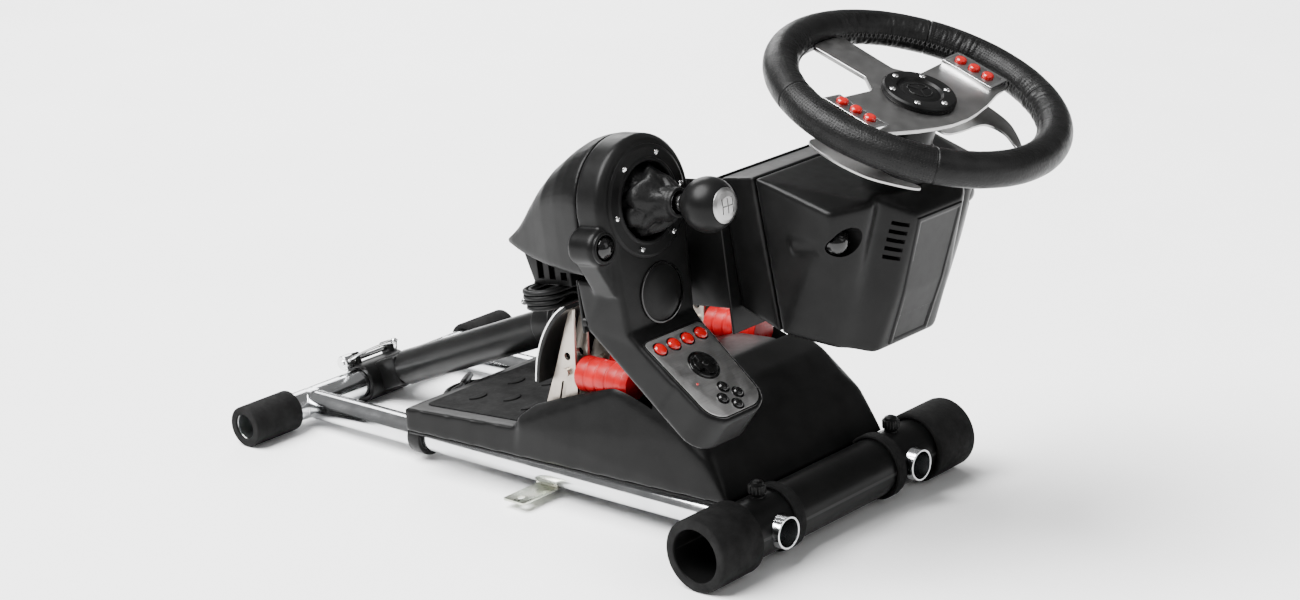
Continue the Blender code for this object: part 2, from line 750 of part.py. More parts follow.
# ---------------------------------------------------------------- pedals


def make_pedal_unit():
    low = RAIL_RADIUS + GAP
    tray = hull(both_sides([(x, y, z) for x, y in ((0.190, 0.142), (0.5895, 0.118)) for z in (low, TRAY_TOP)]))
    finish(tray, "pedal_tray", BLACK_PLASTIC, FLOOR)

    floor = TRAY_TOP + GAP
    heel = [(0.190, 0.142, floor), (0.190, 0.142, 0.043), (0.345, 0.133, floor), (0.345, 0.133, 0.0495)]
    hood = [
        (0.335, 0.1335, floor),
        (0.592, 0.1180, floor),
        (0.335, 0.1335, 0.0490),
        (0.435, 0.1280, 0.0690),
        (0.511, 0.1230, 0.0730),
        (0.543, 0.1210, 0.0700),
        (0.570, 0.1190, 0.0510),
        (0.345, 0.1210, 0.0590),
        (0.447, 0.1190, 0.1000),
        (0.500, 0.1130, 0.1020),
        (0.535, 0.1090, 0.0920),
        (0.560, 0.1060, 0.0700),
    ]
    inside = about_middle(both_sides(hood), 0.94)
    hollow = hull([(x, y, z if z > 0.045 else TRAY_TOP - 0.01) for x, y, z in inside])
    slots = []
    for middle, _ in PEDALS.values():
        slots.append(box((0.338, middle - 0.0238, TRAY_TOP - 0.01), (0.502, middle + 0.0238, 0.12)))
    cover = cut(join(hull(both_sides(heel)), hull(both_sides(hood))), hollow, *slots)
    finish(cover, "pedal_cover", BLACK_PLASTIC, FLOOR)

    side_view = [
        (0.364, 0.0345),
        (0.379, 0.0345),
        (0.387, 0.0430),
        (0.394, 0.0600),
        (0.397, 0.0900),
        (0.394, 0.1120),
        (0.392, 0.1500),
        (0.3905, 0.1755),
        (0.384, 0.1705),
        (0.377, 0.1520),
        (0.362, 0.1100),
        (0.345, 0.0620),
        (0.350, 0.0420),
    ]
    outer = [(0.347, 0.095), (0.351, 0.120), (0.361, 0.145), (0.376, 0.166), (0.3915, 0.179)]
    inner = [(0.3935, 0.1755), (0.379, 0.1635), (0.3645, 0.1430), (0.3545, 0.119), (0.3505, 0.0945)]
    for name, (middle, half) in PEDALS.items():
        arms = [
            plate(side_view, middle + s * 0.0210 - 0.0015, middle + s * 0.0210 + 0.0015, across="Y")
            for s in (-1, 1)
        ]
        axle = rod((0.372, middle - 0.0225, 0.040), (0.372, middle + 0.0225, 0.040), 0.0060, sides=16)
        pin = rod((0.385, middle - 0.0225, 0.108), (0.385, middle + 0.0225, 0.108), 0.0040, sides=12)
        face = plate(outer + inner, middle - half - 0.001, middle + half + 0.001, across="Y")
        pivot = PEDAL_PIVOT + Vector((0.0, middle, 0.0))
        finish(join(*arms, axle, pin, face), f"{name}_pedal", ALUMINIUM, FLOOR, pivot)
        can = turned(
            [
                (0.0, 0.398),
                (0.0140, 0.398),
                (0.0175, 0.4015),
                (0.0175, 0.460),
                (0.0150, 0.466),
                (0.0, 0.466),
            ],
            along="X",
        )
        can.data.transform(Matrix.Translation((0.0, middle, 0.106)))
        finish(can, f"{name}_spring_housing", RED_PLASTIC, FLOOR, (0.398, middle, 0.106))


# ---------------------------------------------------------------- cords

COIL_CENTRE = (0.118, 0.038)
HANK_X, HANK_Y = -0.2825, -0.195
HANK_RUN = 0.058
HANK_RADIUS = 0.0205
HANK_TOP = -0.1425
HANK_THICK = 0.0185


def make_cords():
    """The shifter's cable is folded into a tied hank, and the pedals' cable is wound into a coil."""
    outline = []
    for centre, start in ((HANK_Y + HANK_RUN / 2, 0.0), (HANK_Y - HANK_RUN / 2, math.pi)):
        for i in range(13):
            turn = start + math.pi * i / 12
            outline.append((HANK_X + HANK_RADIUS * math.cos(turn), centre + HANK_RADIUS * math.sin(turn)))
    finish(plate(outline, HANK_TOP - HANK_THICK, HANK_TOP), "shifter_cable", CABLE, DECK)
    coil = turned([(0.019, 0.0), (0.019, 0.018), (0.044, 0.018), (0.044, 0.0)], 28)
    coil.data.transform(Matrix.Translation((*COIL_CENTRE, GAP)))
    finish(coil, "pedal_cable", CABLE, GROUND)


clear_scene()
PARTS = new_collection("racing_wheel")

CHROME = new_material("chrome_steel", (0.72, 0.74, 0.75), 0.22, 1.0)
BLACK_STEEL = new_material("black_powder_coat", (0.022, 0.022, 0.023), 0.38)
BLACK_PLASTIC = new_material("black_plastic", (0.020, 0.020, 0.021), 0.45)
RUBBER = new_material("black_rubber", (0.024, 0.024, 0.025), 0.75)
LEATHER = new_material("black_leather", (0.018, 0.018, 0.019), 0.50)
ALUMINIUM = new_material("brushed_aluminium", (0.62, 0.62, 0.61), 0.33, 1.0)
RED_PLASTIC = new_material("red_plastic", (0.62, 0.015, 0.018), 0.32)
NYLON = new_material("white_nylon", (0.80, 0.79, 0.74), 0.50)
CABLE = new_material("black_cable", (0.015, 0.015, 0.016), 0.50)

GROUND = new_frame("ground_frame", (0.0, 0.0, 0.0), 0.0)
FLOOR = new_frame("floor_frame", (0.0, 0.0, REAR_Z), -math.atan2(FRONT_Z - REAR_Z, FRONT_X))
COLUMN = new_frame("column_frame", (0.0, 0.0, REAR_Z), -COLUMN_TILT)
DECK = new_frame("deck_frame", WHEEL_CENTRE, DECK_TILT)
WHEEL = new_frame("wheel_frame", WHEEL_CENTRE, WHEEL_TILT)

make_rear_tube()
make_rails()
make_front_tube()
make_column()
make_wheel_post()
make_base()
make_drive()
make_wheel()
make_shifter()
make_panel_buttons()
make_pedal_unit()
make_cords()
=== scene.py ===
"""The racing wheel on its folded stand, with every surface shaped and coloured.

Metres, +Z up. Pieces are built in the same local frames as the CAD:
  ground - level, for what lies on the floor
  floor  - the rails and the pedals, with X along the rails
  column - the telescopic column, with X along its axis
  deck   - the wheel plate, with X pointing up from the plate and Z towards the driver
  wheel  - the steering axis, with X towards twelve o'clock and Z towards the driver
  panel  - the shifter's button panel, with Z square to it
"""

from math import atan2, cos, exp, pi, radians, sin, sqrt, tan

import bmesh
import bpy
from mathutils import Matrix, Vector, noise
from mathutils.bvhtree import BVHTree


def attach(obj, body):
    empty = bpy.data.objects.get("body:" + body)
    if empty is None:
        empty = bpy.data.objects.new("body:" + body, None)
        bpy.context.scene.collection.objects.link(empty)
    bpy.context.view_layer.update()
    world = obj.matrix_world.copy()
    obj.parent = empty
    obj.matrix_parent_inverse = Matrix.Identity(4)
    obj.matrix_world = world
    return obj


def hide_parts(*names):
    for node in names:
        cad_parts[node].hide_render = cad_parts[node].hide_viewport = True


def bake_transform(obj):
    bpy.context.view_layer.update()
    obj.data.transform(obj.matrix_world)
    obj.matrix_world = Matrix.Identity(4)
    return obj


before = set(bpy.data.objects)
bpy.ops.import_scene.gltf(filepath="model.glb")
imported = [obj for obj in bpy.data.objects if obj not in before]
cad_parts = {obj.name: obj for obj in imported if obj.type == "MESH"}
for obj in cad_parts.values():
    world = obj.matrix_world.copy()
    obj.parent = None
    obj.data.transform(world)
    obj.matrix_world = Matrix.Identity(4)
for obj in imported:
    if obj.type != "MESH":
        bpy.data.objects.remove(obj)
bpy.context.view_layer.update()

# ---------------------------------------------------------------- frames and dimensions

FOOTPRINT = Vector((0.4174, -0.03625, 0.0))
REAR_Z = 0.0215
WHEEL_CENTRE = (0.724, 0.0, 0.434)
FLOOR_TILT = -atan2(0.0135, 0.614)
COLUMN_TILT = radians(22.6)
WHEEL_TILT = radians(20.0)
DECK_TILT = radians(-6.6)


def shift(x, y=0.0, z=0.0):
    return Matrix.Translation((x, y, z))


def frame_at(place, tilt):
    return Matrix.Translation(Vector(place) - FOOTPRINT) @ Matrix.Rotation(tilt, 4, "Y")


GROUND = frame_at((0, 0, 0), 0.0)
FLOOR = frame_at((0, 0, REAR_Z), FLOOR_TILT)
COLUMN = frame_at((0, 0, REAR_Z), -COLUMN_TILT)
DECK = frame_at(WHEEL_CENTRE, DECK_TILT)
WHEEL = frame_at(WHEEL_CENTRE, WHEEL_TILT)
PANEL_IN_DECK = shift(-0.116, -0.190, -0.2075) @ Matrix.Rotation(radians(42.8), 4, "Y")
PANEL = DECK @ PANEL_IN_DECK
SHIFTER = DECK @ shift(0, -0.190, -0.056)  # the gate's centre

RAIL_Y = 0.102
RAIL_R = 0.0155
FRONT_X = 0.614
DECK_TOP = -0.1413
SIDES = {"right": -1, "left": 1}
PEDALS = {"throttle": (-0.096, 0.021), "brake": (-0.046, 0.022), "clutch": (0.094, 0.024)}

# ---------------------------------------------------------------- camera


def make_camera():
    azimuth, elevation, roll = (radians(v) for v in (42.0861, 18.3674, -2.3206))
    back = Vector((sin(azimuth) * cos(elevation), -cos(azimuth) * cos(elevation), sin(elevation)))
    right = Vector((0, 0, 1)).cross(back).normalized()
    up = back.cross(right)
    turned_right = right * cos(roll) + up * sin(roll)
    turned_up = up * cos(roll) - right * sin(roll)
    matrix = Matrix((turned_right, turned_up, back)).transposed().to_4x4()
    matrix.translation = Vector((2.14069, -1.92885, 1.04647)) - FOOTPRINT
    data = bpy.data.cameras.new("camera")
    data.sensor_width = 36.0
    data.lens = 77.705
    data.clip_start = 0.05
    camera = bpy.data.objects.new("camera", data)
    bpy.context.scene.collection.objects.link(camera)
    camera.matrix_world = matrix
    bpy.context.scene.camera = camera


make_camera()

# ---------------------------------------------------------------- materials


class Look:
    """A material whose colour, roughness and relief come from textures in the piece's own frame."""

    def __init__(self, name, slot, dark, light, rough, metallic=0.0, blotch=35.0, **sockets):
        self.material = bpy.data.materials.new(name)
        self.material.use_nodes = True
        self.tree = self.material.node_tree
        self.shader = self.tree.nodes["Principled BSDF"]
        self.shader.inputs["Metallic"].default_value = metallic
        for socket, value in sockets.items():
            self.shader.inputs[socket.replace("_", " ")].default_value = value
        self.height = None
        self.coords = self.tree.nodes.new("ShaderNodeTexCoord")
        cloud = self.texture("NOISE", blotch, detail=4.0)
        mix = self.ramp(cloud, dark, light)
        self.tree.links.new(mix, self.shader.inputs["Base Color"])
        self.colour = mix
        smudge = self.texture("NOISE", blotch * 3.1, detail=5.0)
        self.rough = self.between(smudge, 0.3, 0.7, *rough)
        self.tree.links.new(self.rough, self.shader.inputs["Roughness"])

    def texture(self, kind, scale, stretch=(1, 1, 1), detail=2.0, source="Object", feature="F1", random=1.0):
        mapping = self.tree.nodes.new("ShaderNodeMapping")
        mapping.inputs["Scale"].default_value = stretch
        self.tree.links.new(self.coords.outputs[source], mapping.inputs["Vector"])
        node = self.tree.nodes.new("ShaderNodeTexNoise" if kind == "NOISE" else "ShaderNodeTexVoronoi")
        node.inputs["Scale"].default_value = scale
        if kind == "NOISE":
            node.inputs["Detail"].default_value = detail
        else:
            node.feature = feature
            node.inputs["Randomness"].default_value = random
        self.tree.links.new(mapping.outputs["Vector"], node.inputs["Vector"])
        return node.outputs["Fac" if kind == "NOISE" else "Distance"]

    def ramp(self, source, dark, light, low=0.35, high=0.65):
        node = self.tree.nodes.new("ShaderNodeValToRGB")
        node.color_ramp.elements[0].position = low
        node.color_ramp.elements[1].position = high
        node.color_ramp.elements[0].color = (*dark, 1.0)
        node.color_ramp.elements[1].color = (*light, 1.0)
        self.tree.links.new(source, node.inputs["Fac"])
        return node.outputs["Color"]

    def between(self, source, low, high, at_low, at_high):
        node = self.tree.nodes.new("ShaderNodeMapRange")
        for socket, value in zip(("From Min", "From Max", "To Min", "To Max"), (low, high, at_low, at_high)):
            node.inputs[socket].default_value = value
        self.tree.links.new(source, node.inputs["Value"])
        return node.outputs["Result"]

    def multiplied(self, first, second):
        node = self.tree.nodes.new("ShaderNodeMath")
        node.operation = "MULTIPLY"
        self.tree.links.new(first, node.inputs[0])
        self.tree.links.new(second, node.inputs[1])
        return node.outputs["Value"]

    def relief(self, source, distance, strength=1.0, invert=False):
        """One more layer of bump, this deep in metres."""
        node = self.tree.nodes.new("ShaderNodeBump")
        node.inputs["Strength"].default_value = strength
        node.inputs["Distance"].default_value = distance
        node.invert = invert
        self.tree.links.new(source, node.inputs["Height"])
        if self.height is not None:
            self.tree.links.new(self.height, node.inputs["Normal"])
        self.height = node.outputs["Normal"]
        self.tree.links.new(self.height, self.shader.inputs["Normal"])
        return self

    def grain(self, scale, depth, detail=3, strength=1.0, stretch=(1, 1, 1)):
        """A layer of irregular relief."""
        return self.relief(self.texture("NOISE", scale, stretch, detail), depth, strength)

    def pores(self, scale, depth, feature="SMOOTH_F1"):
        """A layer of small cells."""
        return self.relief(self.texture("VORONOI", scale, feature=feature), depth)

    def shade(self, source, colour):
        """Mixes this colour in where the source is 1."""
        node = self.tree.nodes.new("ShaderNodeMix")
        node.data_type = "RGBA"
        self.tree.links.new(source, node.inputs["Factor"])
        self.tree.links.new(self.colour, node.inputs["A"])
        node.inputs["B"].default_value = (*colour, 1.0)
        self.colour = node.outputs["Result"]
        self.tree.links.new(self.colour, self.shader.inputs["Base Color"])
        return self

    def worn(self, colour, low=0.53, high=0.58):
        """Edges rubbed lighter."""
        geometry = self.tree.nodes.new("ShaderNodeNewGeometry")
        return self.shade(self.between(geometry.outputs["Pointiness"], low, high, 0.0, 0.6), colour)


def grey(value, tint=0.0):
    return (value * (1 + tint), value, value * (1 - tint))


def make_looks():
    looks = {
        "plastic": Look(
            "moulded_plastic", "black_plastic", grey(0.003), grey(0.005), (0.30, 0.38),
            Specular_IOR_Level=0.10,
        ).grain(1500, 0.00002),
        "gloss": Look(
            "gloss_plastic", "black_plastic", grey(0.003), grey(0.004), (0.08, 0.16), Coat_Weight=0.1,
            Specular_IOR_Level=0.3,
        ).grain(900, 0.000006, 2),
        "coat": Look(
            "powder_coat", "black_powder_coat", grey(0.003), grey(0.005), (0.28, 0.36), blotch=22,
            Specular_IOR_Level=0.12,
        ).grain(900, 0.00004).worn(grey(0.035), 0.58, 0.66),
        "rubber": Look(
            "foam_rubber", "black_rubber", grey(0.005), grey(0.009), (0.70, 0.85), blotch=60,
            Specular_IOR_Level=0.08,
        ).pores(1100, 0.00010, "F1").grain(300, 0.0002, 4),
        "leather": Look(
            "grain_leather", "black_leather", grey(0.003), grey(0.005), (0.34, 0.48), blotch=50,
            Specular_IOR_Level=0.13,
        ).pores(900, 0.00022).grain(260, 0.00025, 4),
        "thread": Look(
            "thread", "black_leather", grey(0.010), grey(0.030), (0.55, 0.75), blotch=400,
        ).grain(2500, 0.0001, 2, stretch=(1, 3, 1)),
        "cast": Look(
            "warm_aluminium", "brushed_aluminium", (0.34, 0.30, 0.26), (0.44, 0.40, 0.35), (0.28, 0.42), 0.9,
            blotch=30,
        ).grain(700, 0.00003, 4),
        "chrome": Look(
            "zinc_chrome", "chrome_steel", grey(0.62, -0.02), grey(0.72, -0.01), (0.10, 0.20), 1.0, blotch=18,
        ).grain(60, 0.00006, 5, 0.5, (0.2, 1, 1)),
        "bright": Look(
            "polished_steel", "chrome_steel", grey(0.70), grey(0.80), (0.08, 0.16), 1.0, blotch=80,
        ).grain(900, 0.00001),
        "zinc": Look(
            "yellow_zinc", "chrome_steel", (0.46, 0.50, 0.42), (0.58, 0.58, 0.50), (0.24, 0.40), 1.0,
            blotch=90,
        ).grain(500, 0.00004, 5),
        "red": Look(
            "red_caps", "red_plastic", (0.30, 0.001, 0.002), (0.36, 0.002, 0.003), (0.14, 0.22), blotch=90,
            Coat_Weight=0.2,
        ).grain(700, 0.00001, 2),
        "can": Look(
            "red_housing", "red_plastic", (0.26, 0.001, 0.003), (0.34, 0.002, 0.005), (0.26, 0.40), blotch=60,
            Specular_IOR_Level=0.25,
        ).grain(1300, 0.00003),
        "cable": Look(
            "cable_jacket", "black_cable", grey(0.003), grey(0.005), (0.36, 0.52), blotch=90,
            Specular_IOR_Level=0.12,
        ).grain(1200, 0.00003),
        "nylon": Look(
            "nylon", "white_nylon", (0.74, 0.72, 0.66), (0.82, 0.80, 0.75), (0.40, 0.55), blotch=120,
        ).grain(900, 0.00003),
    }
    for name, stretch, dark, light in (
        ("brushed_lengthwise", (4, 120, 4), 0.30, 0.38), ("brushed_across", (120, 4, 4), 0.30, 0.38),
        ("brushed_panel", (120, 4, 4), 0.62, 0.74),
    ):
        brushed = looks[name] = Look(
            name, "brushed_aluminium", grey(dark, 0.01), grey(light, 0.01), (0.28, 0.38), 1.0, blotch=25,
        )
        lines = brushed.texture("NOISE", 14, stretch=stretch, detail=6)
        brushed.relief(lines, 0.00012, 0.6)
        brushed.shade(brushed.between(lines, 0.45, 0.75, 0.0, 0.35), grey(0.30))

    # The rim's leather has holes where the piece's mask says so.
    rim = looks["rim"] = Look(
        "rim_leather", "black_leather", grey(0.003), grey(0.006), (0.32, 0.44), blotch=45,
        Specular_IOR_Level=0.14,
    )
    mask = rim.tree.nodes.new("ShaderNodeAttribute")
    mask.attribute_name = "perforated"
    dots = rim.between(rim.texture("VORONOI", 1.0, source="UV", random=0.0), 0.20, 0.30, 1.0, 0.0)
    holes = rim.multiplied(dots, mask.outputs["Fac"])
    rim.shade(holes, grey(0.002)).pores(800, 0.00024).grain(240, 0.00025, 4)
    rim.relief(holes, 0.0005, invert=True)
    return looks


LOOKS = make_looks()

# ---------------------------------------------------------------- shapes


def polar(radius, angle):
    return (radius * cos(angle), radius * sin(angle))


def dome(radius, foot, height, step=15, power=1.0):
    """The round side of a cap that rises this high above its foot, for a turned profile."""
    return [
        (radius * cos(radians(a)) ** power, foot + height * sin(radians(a))) for a in range(step, 90, step)
    ]


def towards(direction):
    """The turn that brings Z to a direction."""
    return Vector((0, 0, 1)).rotation_difference(direction).to_matrix().to_4x4()


def added(data):
    """A new object in the scene."""
    obj = bpy.data.objects.new("shape", data)
    bpy.context.scene.collection.objects.link(obj)
    return obj


def facing(obj, sign):
    """Turned about the vertical for the right-hand side."""
    if sign < 0:
        moved(obj, Matrix.Rotation(pi, 4, "Z"))
    return obj


def as_object(bm, recalculate=True):
    if recalculate:
        bmesh.ops.recalc_face_normals(bm, faces=bm.faces)
    mesh = bpy.data.meshes.new("shape")
    bm.to_mesh(mesh)
    bm.free()
    return added(mesh)


def settled(obj):
    graph = bpy.context.evaluated_depsgraph_get()
    mesh = bpy.data.meshes.new_from_object(obj.evaluated_get(graph))
    bpy.data.objects.remove(obj, do_unlink=True)
    return added(mesh)


def smoothed(obj, iterations):
    smoother = obj.modifiers.new("smooth", "SMOOTH")
    smoother.factor = 0.5
    smoother.iterations = iterations
    return settled(obj)


def thickened(obj, thickness, offset):
    thick = obj.modifiers.new("thickness", "SOLIDIFY")
    thick.thickness = thickness
    thick.offset = offset
    return settled(obj)


def skinned(bm, rings):
    """Faces from each ring of vertices to the next."""
    for first, second in zip(rings, rings[1:]):
        for k in range(len(first)):
            m = (k + 1) % len(first)
            bm.faces.new((first[k], first[m], second[m], second[k]))


def piece(obj, name, where, look, body, replaces=(), crease=35.0):
    """Places a finished shape: its frame, its material, its body and the CAD that it stands for."""
    obj.name = obj.data.name = name
    obj.matrix_world = where
    obj.data.materials.clear()
    obj.data.materials.append(LOOKS[look].material)
    if obj.type == "MESH":
        obj.data.polygons.foreach_set("use_smooth", [True] * len(obj.data.polygons))
        obj.data.set_sharp_from_angle(angle=radians(crease))
    if body:
        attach(obj, body)
    if replaces:
        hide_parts(*([replaces] if isinstance(replaces, str) else replaces))
    return obj


def box(low, high):
    bm = bmesh.new()
    bmesh.ops.create_cube(bm, size=1.0)
    low, high = Vector(low), Vector(high)
    bmesh.ops.scale(bm, vec=high - low, verts=bm.verts)
    bmesh.ops.translate(bm, vec=(low + high) / 2, verts=bm.verts)
    return as_object(bm)


def rod(start, end, radius, end_radius=None, sides=48):
    start, end = Vector(start), Vector(end)
    axis = end - start
    bm = bmesh.new()
    bmesh.ops.create_cone(
        bm, cap_ends=True, segments=sides, radius1=radius, depth=axis.length,
        radius2=radius if end_radius is None else end_radius,
        matrix=Matrix.Translation((start + end) / 2) @ towards(axis),
    )
    return as_object(bm)


def ball(centre, radius, sides=40, rings=24):
    bm = bmesh.new()
    bmesh.ops.create_uvsphere(
        bm, u_segments=sides, v_segments=rings, radius=radius, matrix=Matrix.Translation(centre)
    )
    return as_object(bm)


def hull(points):
    bm = bmesh.new()
    for point in points:
        bm.verts.new(point)
    made = bmesh.ops.convex_hull(bm, input=bm.verts)
    spare = [item for item in made["geom_interior"] if isinstance(item, bmesh.types.BMVert)]
    bmesh.ops.delete(bm, geom=spare, context="VERTS")
    return as_object(bm)


def pebble(points, radius, sharp=()):
    """A convex form through the points, every edge rounded by the radius; the sharp points keep theirs."""
    middle = sum((Vector(p) for p in points), Vector()) / len(points)
    cloud = list(sharp)
    for point in points:
        point = Vector(point)
        centre = point + (middle - point).normalized() * radius * 1.25
        for i in range(1, 8):
            a = pi * i / 8
            for k in range(14):
                b = pi * k / 7
                cloud.append(centre + radius * Vector((sin(a) * cos(b), sin(a) * sin(b), cos(a))))
    return hull(cloud)


def rounded(points, radius, steps=4, closed=True):
    """A line of 2-D points with its corners rounded."""
    points = [Vector(p) for p in points]
    result = []
    count = len(points)
    for i, here in enumerate(points):
        if not closed and i in (0, count - 1):
            result.append(here)
            continue
        before, after = points[i - 1] - here, points[(i + 1) % count] - here
        angle = before.angle(after)
        if radius <= 0 or angle > radians(172):
            result.append(here)
            continue
        reach = min(radius / tan(angle / 2), 0.45 * before.length, 0.45 * after.length)
        start, end = here + before.normalized() * reach, here + after.normalized() * reach
        for k in range(steps + 1):
            t = k / steps
            result.append((1 - t) ** 2 * start + 2 * t * (1 - t) * here + t * t * end)
    return result


def turned(profile, round_by=0.0006, steps=72, along="Z", closed=True):
    """A closed profile of (radius, height) points turned about an axis. Points on the axis stay sharp."""
    points = []
    count = len(profile)
    for i, point in enumerate(profile):
        if point[0] < 1e-7:
            points.append(Vector(point))
            continue
        corner = rounded([profile[i - 1], point, profile[(i + 1) % count]], round_by, 3, closed=False)
        points += corner[1:-1]
    order = {"Z": (0, 1, 2), "X": (2, 0, 1), "Y": (1, 2, 0)}[along]
    bm = bmesh.new()
    rings = []
    for k in range(steps):
        ring = []
        for radius, height in points:
            at = (*polar(radius, 2 * pi * k / steps), height)
            ring.append(bm.verts.new([at[axis] for axis in order]))
        rings.append(ring)
    for k in range(steps):
        first, second = rings[k], rings[(k + 1) % steps]
        for i in range(len(points)):
            j = (i + 1) % len(points)
            bm.faces.new((first[i], second[i], second[j], first[j]))
    bmesh.ops.remove_doubles(bm, verts=bm.verts, dist=1e-7)
    bmesh.ops.dissolve_degenerate(bm, edges=bm.edges, dist=1e-7)
    return as_object(bm)


def pipe(start, end, radius, bore, along="Y", round_by=0.0005, steps=72):
    return turned([(bore, start), (bore, end), (radius, end), (radius, start)], round_by, steps, along)


def plate(outline, low, high, bevel=0.0005, corners=0.0, across="Z", segments=2):
    """A flat outline with thickness, its edges softened. Across Y, the outline is in X and Z."""
    outline = rounded(outline, corners)
    bm = bmesh.new()
    face = bm.faces.new([bm.verts.new((x, y, low)) for x, y in outline])
    lifted = bmesh.ops.extrude_face_region(bm, geom=[face])["geom"]
    up = [item for item in lifted if isinstance(item, bmesh.types.BMVert)]
    bmesh.ops.translate(bm, vec=(0, 0, high - low), verts=up)
    bmesh.ops.recalc_face_normals(bm, faces=bm.faces)
    if bevel:
        caps = [f for f in bm.faces if abs(f.normal.z) > 0.9]
        edges = list({edge for f in caps for edge in f.edges})
        bmesh.ops.bevel(bm, geom=edges, offset=bevel, segments=segments, affect="EDGES", profile=0.6)
    obj = as_object(bm)
    if across == "Y":
        for vertex in obj.data.vertices:
            x, y, z = vertex.co
            vertex.co = (x, z, y)
        obj.data.flip_normals()
    return obj


def combined(first, others, operation):
    for other in others:
        step = first.modifiers.new("step", "BOOLEAN")
        step.operation = operation
        step.solver = "EXACT"
        step.object = other
        first = settled(first)
        bpy.data.objects.remove(other, do_unlink=True)
    return first


def join(first, *others):
    return combined(first, others, "UNION")


def cut(first, *others):
    return combined(first, others, "DIFFERENCE")


def together(*objs):
    """Separate shapes as one mesh."""
    bm = bmesh.new()
    for obj in objs:
        bm.from_mesh(obj.data)
        bpy.data.objects.remove(obj, do_unlink=True)
    return as_object(bm, recalculate=False)


def soften(obj, width=0.001, segments=3, angle=30.0):
    bevel = obj.modifiers.new("bevel", "BEVEL")
    bevel.width = width
    bevel.segments = segments
    bevel.limit_method = "ANGLE"
    bevel.angle_limit = radians(angle)
    bevel.use_clamp_overlap = True
    return settled(obj)


def moulded(obj, voxel=0.0014, smooth=14):
    """The same form with rounded edges, as plastic leaves its mould."""
    remesh = obj.modifiers.new("remesh", "REMESH")
    remesh.mode = "VOXEL"
    remesh.voxel_size = voxel
    return smoothed(obj, smooth)


def fluted(knob, reach, radius, first_angle, low, high, sides):
    """A knob on the X axis with three hollows for the fingers."""
    hollows = []
    for i in range(3):
        a = radians(120 * i + first_angle)
        aside = Vector((0, reach * cos(a), reach * sin(a)))
        hollows.append(rod(Vector((low, 0, 0)) + aside, Vector((high, 0, 0)) + aside, radius, sides=sides))
    return cut(knob, *hollows)


def both_sides(points):
    return [(x, side * y, z) for x, y, z in points for side in (-1, 1)]


def moved(obj, matrix):
    obj.data.transform(matrix)
    return obj


def in_wheel(x, y, z):
    """A point of the wheel frame, in the deck frame."""
    turn = WHEEL_TILT - DECK_TILT
    c, s = cos(turn), sin(turn)
    return (x * c + z * s, y, z * c - x * s)


WHEEL_IN_DECK = Matrix.Rotation(WHEEL_TILT - DECK_TILT, 4, "Y")


def tube(points, radius, sides=16, ends=True):
    """A smooth tube along 3-D points."""
    points = [Vector(p) for p in points]
    bm = bmesh.new()
    rings = []
    side = None
    for i, point in enumerate(points):
        ahead = (points[min(i + 1, len(points) - 1)] - points[max(i - 1, 0)]).normalized()
        if side is None:
            side = ahead.orthogonal().normalized()
        side = (side - ahead * side.dot(ahead)).normalized()
        other = ahead.cross(side)
        size = radius[i] if isinstance(radius, (list, tuple)) else radius
        angles = [2 * pi * k / sides for k in range(sides)]
        rings.append([bm.verts.new(point + size * (side * cos(a) + other * sin(a))) for a in angles])
    skinned(bm, rings)
    if ends:
        bm.faces.new(rings[0])
        bm.faces.new(rings[-1])
    return as_object(bm)


def curve_through(points, per_span=8):
    """A Catmull-Rom line through the points."""
    points = [Vector(p) for p in points]
    line = []
    for i in range(len(points) - 1):
        p0, p1, p2, p3 = points[max(i - 1, 0)], points[i], points[i + 1], points[min(i + 2, len(points) - 1)]
        for k in range(per_span):
            t = k / per_span
            bend, twist = (2 * p0 - 5 * p1 + 4 * p2 - p3) * t * t, (3 * p1 - p0 - 3 * p2 + p3) * t ** 3
            line.append(0.5 * (2 * p1 + (p2 - p0) * t + bend + twist))
    line.append(points[-1])
    return line


# ---------------------------------------------------------------- cords


def cord_curve(name, points, diameter):
    curve = bpy.data.curves.new(name, "CURVE")
    curve.dimensions = "3D"
    curve.bevel_depth = diameter / 2
    curve.bevel_resolution = 4
    curve.use_fill_caps = True
    line = curve.splines.new("POLY")
    line.points.add(len(points) - 1)
    for point, at in zip(line.points, points):
        point.co = (*at, 1.0)
    line.use_smooth = True
    return added(curve)


def arc(centre, first, second, radius, steps, sweep=90.0):
    """Points of an arc from centre + first towards centre + second."""
    first, second = Vector(first), Vector(second)
    return [
        Vector(centre) + radius * (
            first * cos(radians(sweep) * k / steps) + second * sin(radians(sweep) * k / steps)
        )
        for k in range(steps + 1)
    ]


